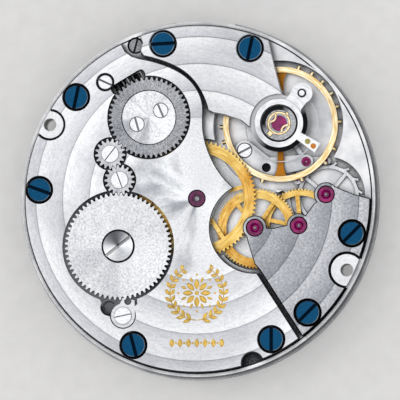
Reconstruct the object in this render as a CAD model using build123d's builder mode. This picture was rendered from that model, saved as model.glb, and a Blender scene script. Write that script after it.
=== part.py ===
from build123d import *
import os
from math import atan2, cos, degrees, hypot, radians, sin, sqrt

os.makedirs("parts", exist_ok=True)

# A hand-wound watch movement seen from its bridge side, in millimetres.
# The origin is on the centre arbor at the dial seat, +Z points to the bridges,
# +Y points to the notch in the flange and +X points to the balance side.

# Plate and bridges, heights counted from the dial seat
flange_radius = 13.4
body_radius = 13.2
bridge_radius = 12.88
flange_height = 0.45
plate_top = 1.70
bridge_top = 2.35
train_floor = 0.50
escape_floor = 0.35
dial_recess_depth = 0.36
wheel_recess_floor = 2.00
edge_bevel = 0.07
running_gap = 0.02
air_gap = 0.08
overrun = 0.5
notch_from = 78.6
notch_to = 97.7

# Places of the arbors
barrel_place = (-5.87, -3.49)
crown_place = (-3.58, 6.06)
third_place = (4.31, -2.19)
fourth_place = (7.57, -2.04)
escape_place = (9.60, 0.24)
pallet_place = (8.00, 2.77)
balance_place = (6.12, 5.54)
centre_place = (0, 0)
click_place = (-5.51, -8.65)

# Stem axis, keyless work and casing screws
stem_angle = 120.5
stem_height = 1.15
lever_post_along = 12.26
lever_post_across = -1.81
yoke_post_along = 9.60
yoke_post_across = 3.00
screw_circle_radius = 11.82
casing_circle_radius = 12.35
casing_hole_radius = 0.48
dial_foot_radius = 0.40
dial_foot_circle_radius = 12.25
dial_foot_depth = 0.80

# Screws
blue_head_radius = 0.90
blue_head_height = 0.35
blue_shank_radius = 0.40
small_head_radius = 0.54
small_head_height = 0.24
small_shank_radius = 0.26
shoulder_head_radius = 0.64
shoulder_radius = 0.42
screw_bevel = 0.06
blue_slot_width = 0.26
small_slot_width = 0.15
slot_depth = 0.14

# Teeth as shares of the pitch and of the module
root_share = 0.34
tip_share = 0.12
addendum_share = 0.80
dedendum_share = 1.10
wheel_addendum_share = 0.65

# Tooth counts
barrel_teeth = 84
centre_leaves = 14
centre_teeth = 80
third_leaves = 10
third_teeth = 72
fourth_leaves = 8
fourth_teeth = 70
escape_leaves = 7
escape_teeth = 15
ratchet_teeth = 64
small_wheel_teeth = 17
crown_teeth = 48
winding_teeth = 15
cannon_leaves = 12
minute_teeth = 36
minute_leaves = 12
hour_teeth = 48
setting_teeth = 20
crown_end_teeth = 12

# Wheel heights in the train, bottom to top
wheel_thickness = 0.12
escape_bottom = 0.45
fourth_bottom = 0.85
third_bottom = 1.12
centre_bottom = 1.45
barrel_bottom = 0.56
barrel_top = 1.34
barrel_rim_height = 0.17
winding_wheel_bottom = 2.06
winding_wheel_top = 2.36

# Balance
balance_radius = 4.28
balance_rim_width = 0.41
balance_bottom = 1.02
balance_top = 1.36
balance_arm_bottom = 1.10
balance_arm_top = 1.24
timing_screw_radius = 0.165
timing_screw_proud = 0.26
timing_shank_radius = 0.08
timing_screw_angles = [72, 58, 45, 31, 17, 2, -25, -41, -69]
spring_radius = 2.80
spring_strip = 0.06
spring_bottom = 1.42
spring_height = 0.14
spring_inner_radius = 0.60
stud_angle = 52.6
boss_radius = 2.11
regulator_outer = 1.80
regulator_inner = 1.41


def polar(radius, angle, place=(0, 0)):
    """The point at a radius and an angle in degrees about a place."""
    return (place[0] + radius * cos(radians(angle)), place[1] + radius * sin(radians(angle)))


def scaled(shares, size, place=(0, 0)):
    """Outline points given as shares of one size, about a place."""
    return [(place[0] + x * size, place[1] + y * size) for x, y in shares]


def distance(first, second):
    """The distance between two places."""
    return hypot(second[0] - first[0], second[1] - first[1])


def heading(first, second):
    """The direction in degrees from one place to another."""
    return degrees(atan2(second[1] - first[1], second[0] - first[0]))


def level(place, height):
    """A horizontal plane whose origin stands over a place."""
    return Plane((place[0], place[1], height))


def on_stem(along, across=0):
    """A place counted out along the stem axis and across it."""
    return (
        along * cos(radians(stem_angle)) - across * sin(radians(stem_angle)),
        along * sin(radians(stem_angle)) + across * cos(radians(stem_angle)),
    )


def meshed_phase(driver_phase, driver_teeth, driver_place, place, teeth):
    """The tooth angle of a wheel whose gap takes the driver's tooth on the line of centres."""
    line = heading(driver_place, place)
    return line + 180 - 180 / teeth + (line - driver_phase) * driver_teeth / teeth


def gear_face(pitch_radius, teeth, phase, addendum=addendum_share, bore=0):
    """A toothed wheel's face, with one tooth centred on the phase angle."""
    module = 2 * pitch_radius / teeth
    root_radius = pitch_radius - dedendum_share * module
    tip_radius = pitch_radius + addendum * module
    points = []
    for tooth in range(teeth):
        for share, radius in (
            (-root_share, root_radius),
            (-tip_share, tip_radius),
            (tip_share, tip_radius),
            (root_share, root_radius),
        ):
            points.append(polar(radius, phase + (tooth + share) * 360 / teeth))
    with BuildSketch() as face:
        with BuildLine():
            Polyline(*points, close=True)
        make_face()
        if bore:
            Circle(bore, mode=Mode.SUBTRACT)
    return face.sketch


def spoked_face(pitch_radius, teeth, phase, rim_inner, hub, bore, spokes, spoke_angle, spoke_width):
    """A train wheel's face: toothed rim, spokes and a hub with its bore."""
    with BuildSketch() as face:
        add(gear_face(pitch_radius, teeth, phase, wheel_addendum_share))
        Circle(rim_inner, mode=Mode.SUBTRACT)
        with PolarLocations((rim_inner + hub) / 2, spokes, spoke_angle):
            Rectangle(rim_inner - hub + 2 * spoke_width, spoke_width)
        Circle(hub)
        Circle(bore, mode=Mode.SUBTRACT)
    return face.sketch


def turned(place, profile, bore=0):
    """A turned piece over a place, its profile given as radius and height from the bottom up."""
    outline = [(bore, profile[0][1])] + profile + [(bore, profile[-1][1])]
    with BuildPart() as piece:
        with BuildSketch(Plane.XZ):
            with BuildLine():
                Polyline(*outline, close=True)
            make_face()
        revolve(axis=Axis.Z)
    return piece.part.moved(Location((place[0], place[1], 0)))


def slotted_screw(place, bottom, seat, top, shank, head, slot_angle, slot_width):
    """A screw with a bevelled, slotted head on a plain shank."""
    profile = [(shank, bottom), (shank, seat), (head, seat), (head, top - screw_bevel)]
    profile.append((head - screw_bevel, top))
    with BuildPart() as screw:
        add(turned(place, profile))
        with BuildSketch(level(place, top)):
            Rectangle(2 * head + 2 * overrun, slot_width, rotation=slot_angle)
        extrude(amount=-min(slot_depth, (top - seat) / 2), mode=Mode.SUBTRACT)
    return screw.part


def ring_jewel(place, bottom, top, radius, hole, cup_share=0.62):
    """A ruby bearing with an oil cup in its upper face."""
    cup = radius * cup_share
    land = top - (top - bottom) * cup_share
    return turned(place, [(radius, bottom), (radius, top), (cup, top), (2 * hole, land)], hole)


# Outlines seen in plan, as shares of the body radius
barrel_bridge_share = [
    (-0.3275, 0.7936),
    (-0.1464, 0.7392),
    (-0.0320, 0.6607),
    (0.0325, 0.5317),
    (0.0342, 0.4139),
    (0.0841, 0.2227),
    (0.2030, 0.0645),
]
lever_pocket_share = [(-0.4060, 0.8345), (-0.3668, 0.8059)]
lever_pocket_angle = 116.0
slot_start_share = (0.3376, -0.4178)
slot_end_share = (0.5688, -0.7780)
cock_left_share = [
    (-0.3034, 0.8070),
    (-0.1464, 0.7571),
    (-0.0499, 0.6966),
    (0.0146, 0.6175),
    (0.0628, 0.4963),
]
cock_corner_share = [(-0.3096, 0.8777), (-0.3214, 0.8328)]
cock_lower_share = [(0.0931, 0.4818), (0.1503, 0.4706), (0.2473, 0.4375), (0.3300, 0.3700)]
cock_right_share = [(0.4834, 0.5805), (0.4386, 0.7487)]
cock_left_angle = 109.2
cock_right_angle = 65.3
train_bridge_share = [
    (0.8912, 0.0163),
    (0.8306, 0.0393),
    (0.7640, 0.0701),
    (0.7270, 0.0180),
    (0.6573, -0.0364),
    (0.6125, -0.0981),
    (0.5732, -0.1542),
    (0.4947, -0.1542),
    (0.4330, -0.1683),
    (0.3267, -0.1655),
    (0.2759, -0.1991),
    (0.2927, -0.2664),
    (0.3264, -0.3718),
    (0.3656, -0.4155),
]
train_bridge_angle = -0.4
bridge_slot_width = 0.30
train_window_radius = 3.35
jewel_boss_radius = 0.90
bearing_jewel_radius = 0.58
bearing_hole = 0.10
pivot_radius = bearing_hole - running_gap

# Meshing: every pitch radius follows from the places and the tooth counts
def pitch_of(first, second, first_teeth, second_teeth):
    """The first wheel's pitch radius on the line between two places."""
    return distance(first, second) * first_teeth / (first_teeth + second_teeth)


barrel_pitch = pitch_of(barrel_place, centre_place, barrel_teeth, centre_leaves)
centre_pinion_pitch = pitch_of(centre_place, barrel_place, centre_leaves, barrel_teeth)
centre_pitch = pitch_of(centre_place, third_place, centre_teeth, third_leaves)
third_pinion_pitch = pitch_of(third_place, centre_place, third_leaves, centre_teeth)
third_pitch = pitch_of(third_place, fourth_place, third_teeth, fourth_leaves)
fourth_pinion_pitch = pitch_of(fourth_place, third_place, fourth_leaves, third_teeth)
fourth_pitch = pitch_of(fourth_place, escape_place, fourth_teeth, escape_leaves)
escape_pinion_pitch = pitch_of(escape_place, fourth_place, escape_leaves, fourth_teeth)

centre_phase = 0
barrel_phase = meshed_phase(0, centre_leaves, centre_place, barrel_place, barrel_teeth)
third_pinion_phase = meshed_phase(centre_phase, centre_teeth, centre_place, third_place, third_leaves)
third_phase = 0
fourth_pinion_phase = meshed_phase(third_phase, third_teeth, third_place, fourth_place, fourth_leaves)
fourth_phase = 0
escape_pinion_phase = meshed_phase(
    fourth_phase, fourth_teeth, fourth_place, escape_place, escape_leaves
)

# Winding wheels: the two intermediate wheels sit where both distances meet
winding_module = 0.1215
ratchet_pitch = winding_module * ratchet_teeth / 2
small_wheel_pitch = winding_module * small_wheel_teeth / 2
crown_pitch = winding_module * crown_teeth / 2
winding_pitch = winding_module * winding_teeth / 2
lower_small_angle = 88.84
lower_small_place = polar(ratchet_pitch + small_wheel_pitch, lower_small_angle, barrel_place)


def meeting_place(first, first_radius, second, second_radius):
    """The left-hand point at two distances from two places."""
    span = distance(first, second)
    along = (first_radius**2 - second_radius**2 + span**2) / (2 * span)
    aside = sqrt(first_radius**2 - along**2)
    line = heading(first, second)
    return polar(hypot(along, aside), line + degrees(atan2(aside, along)), first)


upper_small_place = meeting_place(
    lower_small_place, 2 * small_wheel_pitch, crown_place, crown_pitch + small_wheel_pitch
)
click_beak_share = (-0.02, 1.48)
click_boss_radius = 0.89
click_beak_place = scaled([click_beak_share], click_boss_radius, click_place)[0]
ratchet_phase = heading(barrel_place, click_beak_place) + 180 / ratchet_teeth
lower_small_phase = meshed_phase(
    ratchet_phase, ratchet_teeth, barrel_place, lower_small_place, small_wheel_teeth
)
upper_small_phase = meshed_phase(
    lower_small_phase, small_wheel_teeth, lower_small_place, upper_small_place, small_wheel_teeth
)
crown_phase = meshed_phase(
    upper_small_phase, small_wheel_teeth, upper_small_place, crown_place, crown_teeth
)

ratchet_recess_radius = 4.18
small_recess_radius = 1.25
crown_recess_radius = 3.12
click_recess_share = [
    (-0.368, -0.883),
    (-0.274, -1.034),
    (-0.168, -1.246),
    (0.080, -1.246),
    (0.345, -1.030),
    (0.335, -0.892),
]
click_spring_pocket = 0.63
click_spring_place = (-6.57, -8.03)

# Places of the bridge screws on their circle, and how their slots lie
screw_angles = [102.4, 70.4, 139.8, 176.4, 246.4, 297.9, 314.1, 347.0]
screw_slots = [3, 78, 78, -20, -75, 90, 45, 45]
casing_angles = [153.1, -25.7]
casing_cut_radii = [1.12, 1.30]
lever_screw_place = on_stem(lever_post_along, lever_post_across)
cover_screw_place = (-6.86, 8.72)
core_screw_places = [(-2.70, 6.57), (-4.47, 5.56)]
core_screw_slots = [-67, -74]
cover_screw_slot = -25
lever_screw_slot = 75
pallet_screw_slot = -12
small_wheel_slots = [52, -70]
click_slot = 12
pallet_screw_place = (3.41, 3.65)
pallet_pin_place = (5.03, 2.36)
pallet_pin_radius = 0.34

# Stem sizes, counted out from the centre along its axis
stem_hole_radius = 0.52
stem_radius = 0.50
stem_round_radius = 0.36
stem_square = 0.50
stem_pilot_radius = 0.20
stem_groove_radius = 0.30
stem_inner_end = 5.90
stem_square_start = 6.95
stem_round_start = 9.66
stem_shoulder = 10.62
stem_groove_start = 11.15
stem_groove_end = 11.65
stem_outer_end = 13.15
winding_start = 9.80
winding_end = 10.45
dog_length = 0.16
dog_inner = 0.46
dog_outer = 0.62
dog_count = 6
dog_arc = 26.0
sliding_start = 7.75
sliding_end = 9.61
sliding_radius = 0.64
sliding_groove_radius = 0.50
sliding_groove_start = 8.28
sliding_groove_end = 8.62
stem_slot_start = 6.92
stem_slot_end = 10.62
stem_slot_half = 1.15
window_half_length = 1.43
stem_plane = Plane(
    (0, 0, stem_height), x_dir=(*on_stem(0, 1), 0), z_dir=(*on_stem(1, 0), 0)
)

# Motion work under the dial
minute_distance = 2.64
minute_place = on_stem(minute_distance)
cannon_pitch = minute_distance * cannon_leaves / (cannon_leaves + minute_teeth)
minute_pitch = minute_distance - cannon_pitch
minute_pinion_pitch = minute_distance * minute_leaves / (minute_leaves + hour_teeth)
hour_pitch = minute_distance - minute_pinion_pitch
setting_pitch = minute_pitch * setting_teeth / minute_teeth
setting_place = on_stem(minute_distance + minute_pitch + setting_pitch)
cannon_phase = 0
minute_phase = meshed_phase(cannon_phase, cannon_leaves, centre_place, minute_place, minute_teeth)
minute_pinion_phase = 0
hour_phase = meshed_phase(
    minute_pinion_phase, minute_leaves, minute_place, centre_place, hour_teeth
)
setting_phase = meshed_phase(
    minute_phase, minute_teeth, minute_place, setting_place, setting_teeth
)
hour_bottom = 0.04
hour_top = 0.14
minute_bottom = 0.18
minute_top = 0.32
hour_pipe_radius = 0.75
hour_pipe_bore = 0.54
hour_pipe_end = -0.90
cannon_radius = 0.50
cannon_bore = 0.32
cannon_end = -1.40
post_radius = 0.25
lever_bore = 0.30

# Main plate: the body with its flange, hollowed for the train, the barrel and the balance
lens_radius = 4.50
barrel_pocket_radius = 6.10
centre_cavity_radius = 4.55
third_cavity_radius = 3.12
fourth_cavity_radius = 2.95
escape_recess_radius = 2.85
balance_recess_radius = 4.72
balance_recess_side_place = (5.90, 5.35)
balance_recess_side_radius = 4.75
hour_recess_radius = 2.45
minute_recess_radius = 2.25
setting_recess_radius = 1.32
keyless_recess_start = 5.90
keyless_recess_end = 12.90
keyless_recess_low = -2.70
keyless_recess_high = 4.10
keyless_recess_wall = 0.25
edge_groove_width = 0.10
edge_groove_depth = 0.30
rim_notch_angle = -71.3
rim_notch_radius = 0.80
rim_notch_depth = 0.35
tapped_floor = 0.60
bank_pin_radius = 0.10
bank_pin_out = 1.70
bank_pin_aside = 0.47
bank_pin_top = 0.74
pallet_bridge_bottom = 0.80
pallet_bridge_top = 0.96
pallet_foot_radius = 0.72
lower_jewel_height = 0.20
lower_jewel_radius = 0.50
centre_jewel_radius = 0.90
barrel_jewel_radius = 1.15
barrel_jewel_height = 0.26
lower_shock_radius = 1.10
lever_pin_slot_half = 0.42
lever_pin_slot_start = 11.02
lever_pin_slot_end = 12.55
lever_screw_seat = 1.30
pallet_line = heading(pallet_place, balance_place)

with BuildPart() as main_plate:
    with BuildSketch():
        Circle(body_radius)
    extrude(amount=plate_top)
    with BuildSketch():
        Circle(flange_radius)
        with BuildLine():
            Polyline(
                centre_place,
                polar(2 * flange_radius, notch_from),
                polar(2 * flange_radius, notch_to),
                close=True,
            )
        make_face(mode=Mode.SUBTRACT)
        Circle(body_radius)
    extrude(amount=flange_height)
    # Hollows seen from the bridge side
    with BuildSketch(Plane.XY.offset(plate_top)):
        with Locations(centre_place):
            Circle(centre_cavity_radius)
        with Locations(third_place):
            Circle(third_cavity_radius)
        with Locations(fourth_place):
            Circle(fourth_cavity_radius)
        with Locations(barrel_place):
            Circle(barrel_pocket_radius)
    extrude(amount=train_floor - plate_top, mode=Mode.SUBTRACT)
    with BuildSketch(Plane.XY.offset(plate_top)):
        with Locations(escape_place):
            Circle(escape_recess_radius)
        with Locations(balance_place):
            Circle(balance_recess_radius)
        with Locations(balance_recess_side_place):
            Circle(balance_recess_side_radius)
    extrude(amount=escape_floor - plate_top, mode=Mode.SUBTRACT)
    # The groove that runs round the bridges, left out at the casing screws and the balance
    with BuildSketch(Plane.XY.offset(plate_top)):
        Circle(bridge_radius + edge_groove_width)
        Circle(bridge_radius, mode=Mode.SUBTRACT)
        for angle, cut in zip(casing_angles, casing_cut_radii):
            with Locations(polar(casing_circle_radius, angle)):
                Circle(cut, mode=Mode.SUBTRACT)
        with Locations(balance_place):
            Circle(balance_recess_radius + edge_groove_width, mode=Mode.SUBTRACT)
    extrude(amount=-edge_groove_depth, mode=Mode.SUBTRACT)
    with BuildSketch(Plane.XY.offset(plate_top)):
        with Locations(polar(bridge_radius, rim_notch_angle)):
            Circle(rim_notch_radius)
        Circle(bridge_radius + edge_groove_width, mode=Mode.INTERSECT)
    extrude(amount=-rim_notch_depth, mode=Mode.SUBTRACT)
    # Pads, banking pins and screw holes
    with BuildSketch(Plane.XY.offset(escape_floor)):
        with Locations(pallet_screw_place, pallet_pin_place):
            Circle(pallet_foot_radius)
    extrude(amount=pallet_bridge_bottom - escape_floor)
    with BuildSketch(Plane.XY.offset(escape_floor)):
        bank_place = polar(bank_pin_out, pallet_line, pallet_place)
        with Locations(
            polar(bank_pin_aside, pallet_line + 90, bank_place),
            polar(bank_pin_aside, pallet_line - 90, bank_place),
        ):
            Circle(bank_pin_radius)
    extrude(amount=bank_pin_top - escape_floor)
    with BuildSketch(Plane.XY.offset(plate_top)):
        for angle in screw_angles:
            with Locations(polar(screw_circle_radius, angle)):
                Circle(blue_shank_radius + running_gap)
    extrude(amount=tapped_floor - plate_top, mode=Mode.SUBTRACT)
    with BuildSketch(Plane.XY.offset(pallet_bridge_bottom)):
        with Locations(pallet_screw_place):
            Circle(small_shank_radius + running_gap)
        with Locations(pallet_pin_place):
            Circle(pallet_pin_radius)
    extrude(amount=dial_recess_depth - pallet_bridge_bottom, mode=Mode.SUBTRACT)
    with BuildSketch(Plane.XY.offset(plate_top)):
        for angle in casing_angles:
            with Locations(polar(casing_circle_radius, angle)):
                Circle(casing_hole_radius)
        with Locations(cover_screw_place):
            Circle(small_shank_radius + running_gap)
        with Locations(lever_screw_place):
            Circle(small_shank_radius + running_gap)
    extrude(amount=-plate_top, mode=Mode.SUBTRACT)
    with BuildSketch(Plane.XY.offset(plate_top)):
        with Locations(lever_screw_place):
            Circle(small_head_radius + air_gap)
    extrude(amount=lever_screw_seat - plate_top, mode=Mode.SUBTRACT)
    # Seats of the lower jewels
    with BuildSketch(Plane.XY.offset(train_floor)):
        with Locations(third_place, fourth_place):
            Circle(lower_jewel_radius)
        with Locations(centre_place):
            Circle(centre_jewel_radius)
        with Locations(barrel_place):
            Circle(barrel_jewel_radius)
    extrude(amount=-train_floor, mode=Mode.SUBTRACT)
    with BuildSketch(Plane.XY.offset(escape_floor)):
        with Locations(escape_place, pallet_place):
            Circle(lower_jewel_radius)
        with Locations(balance_place):
            Circle(lower_shock_radius)
    extrude(amount=-escape_floor, mode=Mode.SUBTRACT)
    # Dial side: motion work and keyless work
    with BuildSketch():
        with Locations(centre_place):
            Circle(hour_recess_radius)
        with Locations(minute_place):
            Circle(minute_recess_radius)
        with Locations(setting_place):
            Circle(setting_recess_radius)
    extrude(amount=dial_recess_depth, mode=Mode.SUBTRACT)
    with BuildSketch():
        with BuildLine():
            Polyline(
                on_stem(keyless_recess_start, keyless_recess_low),
                on_stem(keyless_recess_end, keyless_recess_low),
                on_stem(keyless_recess_end, keyless_recess_high),
                on_stem(keyless_recess_start, keyless_recess_high),
                close=True,
            )
        make_face()
        Circle(body_radius - keyless_recess_wall, mode=Mode.INTERSECT)
    extrude(amount=dial_recess_depth, mode=Mode.SUBTRACT)
    with BuildSketch():
        with Locations(minute_place, setting_place, on_stem(yoke_post_along, yoke_post_across)):
            Circle(post_radius)
    extrude(amount=dial_recess_depth)
    # Stem way, with the slot that holds both pinions
    with BuildSketch(stem_plane.offset(stem_slot_end)):
        Circle(stem_hole_radius)
    extrude(amount=flange_radius - stem_slot_end + overrun, mode=Mode.SUBTRACT)
    with BuildSketch(stem_plane.offset(stem_slot_start)):
        Circle(stem_pilot_radius + running_gap)
    extrude(amount=stem_inner_end - stem_slot_start - air_gap, mode=Mode.SUBTRACT)
    with BuildSketch():
        with BuildLine():
            Polyline(
                on_stem(stem_slot_start, -stem_slot_half),
                on_stem(stem_slot_end, -stem_slot_half),
                on_stem(stem_slot_end, stem_slot_half),
                on_stem(stem_slot_start, stem_slot_half),
                close=True,
            )
        make_face()
        with BuildLine():
            Polyline(
                on_stem(lever_pin_slot_start, -lever_pin_slot_half),
                on_stem(lever_pin_slot_end, -lever_pin_slot_half),
                on_stem(lever_pin_slot_end, lever_pin_slot_half),
                on_stem(lever_pin_slot_start, lever_pin_slot_half),
                close=True,
            )
        make_face()
    extrude(amount=stem_height, mode=Mode.SUBTRACT)
    with BuildSketch(Plane.XY.offset(stem_height)):
        with BuildLine():
            Polyline(
                on_stem(stem_slot_start, -stem_slot_half),
                on_stem(stem_slot_end, -stem_slot_half),
                on_stem(stem_slot_end, stem_slot_half),
                on_stem(stem_slot_start, stem_slot_half),
                close=True,
            )
        make_face()
    extrude(amount=plate_top - stem_height, mode=Mode.SUBTRACT)
    # Bores for the dial feet
    with BuildSketch():
        with Locations(
            polar(dial_foot_circle_radius, 90),
            polar(dial_foot_circle_radius, 270),
        ):
            Circle(dial_foot_radius)
    extrude(amount=dial_foot_depth, mode=Mode.SUBTRACT)
main_plate.part.label = "main_plate"
export_step(main_plate.part, "parts/main_plate.step")

# Bridges: flat plates with bevelled edges, sunk seats and bearings
seat_bevel = 0.12
head_gap = 0.04
jewel_fit = 0.01
jewel_sink = 0.08
jewel_bottom = 1.95
jewel_top = 2.31
centre_bearing_hole = 0.18
small_jewel_radius = 0.36
small_bearing_hole = 0.07
shock_block_radius = 1.30
regulator_seat = 2.14
window_width = 0.72
window_corner = 0.30
relief_start = 7.10
relief_half = 0.42
relief_depth = 0.13
far_radius = 2 * bridge_radius
far_angles = [-90, -150, 150]
train_far_angle = -30
slot_start = scaled([slot_start_share], body_radius)[0]
slot_end = scaled([slot_end_share], body_radius)[0]
slot_line = heading(slot_start, slot_end)
slot_far = polar(far_radius, slot_line, slot_start)
slot_right_start = polar(bridge_slot_width, slot_line + 90, slot_start)
slot_right_far = polar(far_radius, slot_line, slot_right_start)


def screw_seat(place, bottom, seat, top, shank, head):
    """The stepped and bevelled hole that takes a screw."""
    hole = shank + running_gap
    wall = head + head_gap
    mouth = wall + seat_bevel
    profile = [(hole, bottom - overrun), (hole, seat), (wall, seat), (wall, top - seat_bevel)]
    profile += [(mouth, top), (mouth, top + overrun)]
    return turned(place, profile)


def jewel_seat(place, bottom, top, radius):
    """The bore that holds a bearing jewel, with a sink at its mouth."""
    wall = radius + jewel_fit
    mouth = wall + jewel_sink
    profile = [(wall, bottom - overrun), (wall, top - jewel_sink), (mouth, top)]
    return turned(place, profile + [(mouth, top + overrun)])


with BuildPart() as barrel_bridge:
    with BuildSketch(Plane.XY.offset(plate_top)):
        with BuildLine():
            right_edge = scaled(barrel_bridge_share, body_radius)
            Spline(*right_edge)
            Polyline(
                right_edge[-1],
                slot_start,
                slot_far,
                *[polar(far_radius, angle) for angle in far_angles],
                polar(far_radius, lever_pocket_angle),
                polar(bridge_radius, lever_pocket_angle),
                *scaled(lever_pocket_share, body_radius),
                right_edge[0],
            )
        make_face()
        Circle(bridge_radius, mode=Mode.INTERSECT)
        with Locations(third_place):
            Circle(train_window_radius, mode=Mode.SUBTRACT)
        with Locations(polar(casing_circle_radius, casing_angles[0])):
            Circle(casing_cut_radii[0], mode=Mode.SUBTRACT)
        with Locations(polar(bridge_radius, rim_notch_angle)):
            Circle(rim_notch_radius, mode=Mode.SUBTRACT)
    extrude(amount=bridge_top - plate_top)
    chamfer(barrel_bridge.faces().sort_by(Axis.Z)[-1].edges(), edge_bevel)
    # Sunk seats of the winding wheels and the click
    with BuildSketch(Plane.XY.offset(wheel_recess_floor)):
        with Locations(barrel_place):
            Circle(ratchet_recess_radius)
        with Locations(upper_small_place, lower_small_place):
            Circle(small_recess_radius)
        with Locations(crown_place):
            Circle(crown_recess_radius)
        with Locations(click_place):
            Circle(click_boss_radius + air_gap)
        with Locations(click_spring_place):
            Circle(click_spring_pocket)
        with BuildLine():
            Polyline(
                *scaled(click_recess_share, ratchet_recess_radius, barrel_place), close=True
            )
        make_face()
    extrude(amount=bridge_top - wheel_recess_floor + overrun, mode=Mode.SUBTRACT)
    # Openings over the centre wheel's rim, where the seats cross it
    with BuildSketch(Plane.XY.offset(wheel_recess_floor)):
        with Locations(barrel_place):
            Circle(ratchet_recess_radius)
        with Locations(crown_place):
            Circle(crown_recess_radius)
        with Locations(centre_place):
            Circle(lens_radius, mode=Mode.INTERSECT)
    extrude(amount=plate_top - wheel_recess_floor, mode=Mode.SUBTRACT)
    # Window over the winding pinion
    with BuildSketch(Plane.XY.offset(plate_top)):
        with Locations(on_stem((winding_start + winding_end) / 2)):
            RectangleRounded(
                2 * window_half_length, window_width, window_corner, rotation=stem_angle + 90
            )
    extrude(amount=bridge_top - plate_top + overrun, mode=Mode.SUBTRACT)
    # Relief over the sliding pinion
    with BuildSketch(Plane.XY.offset(plate_top)):
        with Locations(on_stem((relief_start + winding_start) / 2)):
            Rectangle(winding_start - relief_start, 2 * relief_half, rotation=stem_angle)
    extrude(amount=relief_depth, mode=Mode.SUBTRACT)
    for angle in screw_angles[2:6]:
        add(
            screw_seat(
                polar(screw_circle_radius, angle),
                plate_top,
                bridge_top - blue_head_height,
                bridge_top,
                blue_shank_radius,
                blue_head_radius,
            ),
            mode=Mode.SUBTRACT,
        )
    add(
        screw_seat(
            cover_screw_place,
            plate_top,
            bridge_top - small_head_height,
            bridge_top,
            small_shank_radius,
            small_head_radius,
        ),
        mode=Mode.SUBTRACT,
    )
    with BuildSketch(Plane.XY.offset(plate_top)):
        with Locations(*core_screw_places, upper_small_place, lower_small_place, click_place):
            Circle(small_shank_radius + running_gap)
        with Locations(barrel_place):
            Circle(barrel_jewel_radius)
    extrude(amount=bridge_top - plate_top, mode=Mode.SUBTRACT)
    add(jewel_seat(centre_place, plate_top, bridge_top, bearing_jewel_radius), mode=Mode.SUBTRACT)
barrel_bridge.part.label = "barrel_bridge"
export_step(barrel_bridge.part, "parts/barrel_bridge.step")

with BuildPart() as train_bridge:
    with BuildSketch(Plane.XY.offset(plate_top)):
        with BuildLine():
            Polyline(
                polar(bridge_radius, train_bridge_angle),
                *scaled(train_bridge_share[:-1], body_radius),
                slot_right_start,
                slot_right_far,
                polar(far_radius, train_far_angle),
                polar(far_radius, train_bridge_angle),
                close=True,
            )
        make_face()
        with Locations(third_place, fourth_place, escape_place):
            Circle(jewel_boss_radius)
        Circle(bridge_radius, mode=Mode.INTERSECT)
        with Locations(polar(casing_circle_radius, casing_angles[1])):
            Circle(casing_cut_radii[1], mode=Mode.SUBTRACT)
    extrude(amount=bridge_top - plate_top)
    chamfer(train_bridge.faces().sort_by(Axis.Z)[-1].edges(), edge_bevel)
    for angle in screw_angles[6:]:
        add(
            screw_seat(
                polar(screw_circle_radius, angle),
                plate_top,
                bridge_top - blue_head_height,
                bridge_top,
                blue_shank_radius,
                blue_head_radius,
            ),
            mode=Mode.SUBTRACT,
        )
    for place in (third_place, fourth_place, escape_place):
        add(jewel_seat(place, plate_top, bridge_top, bearing_jewel_radius), mode=Mode.SUBTRACT)
train_bridge.part.label = "train_bridge"
export_step(train_bridge.part, "parts/train_bridge.step")

with BuildPart() as balance_cock:
    with BuildSketch(Plane.XY.offset(plate_top)):
        with BuildLine():
            left_edge = scaled(cock_left_share, body_radius)
            Spline(*left_edge)
            Polyline(
                left_edge[-1],
                *scaled(cock_lower_share, body_radius),
                balance_place,
                *scaled(cock_right_share, body_radius),
                polar(bridge_radius, cock_right_angle),
                polar(far_radius, cock_right_angle),
                polar(far_radius, cock_left_angle),
                polar(bridge_radius, cock_left_angle),
                *scaled(cock_corner_share, body_radius),
                left_edge[0],
            )
        make_face()
        with Locations(balance_place):
            Circle(boss_radius)
        Circle(bridge_radius, mode=Mode.INTERSECT)
    extrude(amount=bridge_top - plate_top)
    chamfer(balance_cock.faces().sort_by(Axis.Z)[-1].edges(), edge_bevel)
    with BuildSketch(level(balance_place, regulator_seat)):
        Circle(boss_radius + air_gap)
    extrude(amount=bridge_top - regulator_seat, mode=Mode.SUBTRACT)
    with BuildSketch(level(balance_place, plate_top)):
        Circle(shock_block_radius + jewel_fit)
    extrude(amount=bridge_top - plate_top, mode=Mode.SUBTRACT)
    for angle in screw_angles[:2]:
        add(
            screw_seat(
                polar(screw_circle_radius, angle),
                plate_top,
                bridge_top - blue_head_height,
                bridge_top,
                blue_shank_radius,
                blue_head_radius,
            ),
            mode=Mode.SUBTRACT,
        )
balance_cock.part.label = "balance_cock"
export_step(balance_cock.part, "parts/balance_cock.step")

pallet_screw_seat = 0.88
pallet_screw_top = 1.00
with BuildPart() as pallet_bridge:
    with BuildSketch(Plane.XY.offset(pallet_bridge_bottom)):
        with Locations(pallet_screw_place, pallet_pin_place):
            Circle(pallet_foot_radius)
        make_hull()
    with BuildSketch(Plane.XY.offset(pallet_bridge_bottom)):
        with Locations(pallet_pin_place):
            Circle(pallet_foot_radius)
        with Locations(pallet_place):
            Circle(small_jewel_radius + pallet_pin_radius / 2)
        make_hull()
    extrude(amount=pallet_bridge_top - pallet_bridge_bottom)
    with BuildSketch(Plane.XY.offset(pallet_bridge_bottom)):
        with Locations(pallet_screw_place):
            Circle(small_shank_radius + running_gap)
        with Locations(pallet_pin_place):
            Circle(pallet_pin_radius)
        with Locations(pallet_place):
            Circle(small_jewel_radius + jewel_fit)
    extrude(amount=pallet_bridge_top - pallet_bridge_bottom, mode=Mode.SUBTRACT)
    with BuildSketch(level(pallet_screw_place, pallet_screw_seat)):
        Circle(small_head_radius + head_gap)
    extrude(amount=pallet_bridge_top - pallet_screw_seat, mode=Mode.SUBTRACT)
pallet_bridge.part.label = "pallet_bridge"
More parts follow.
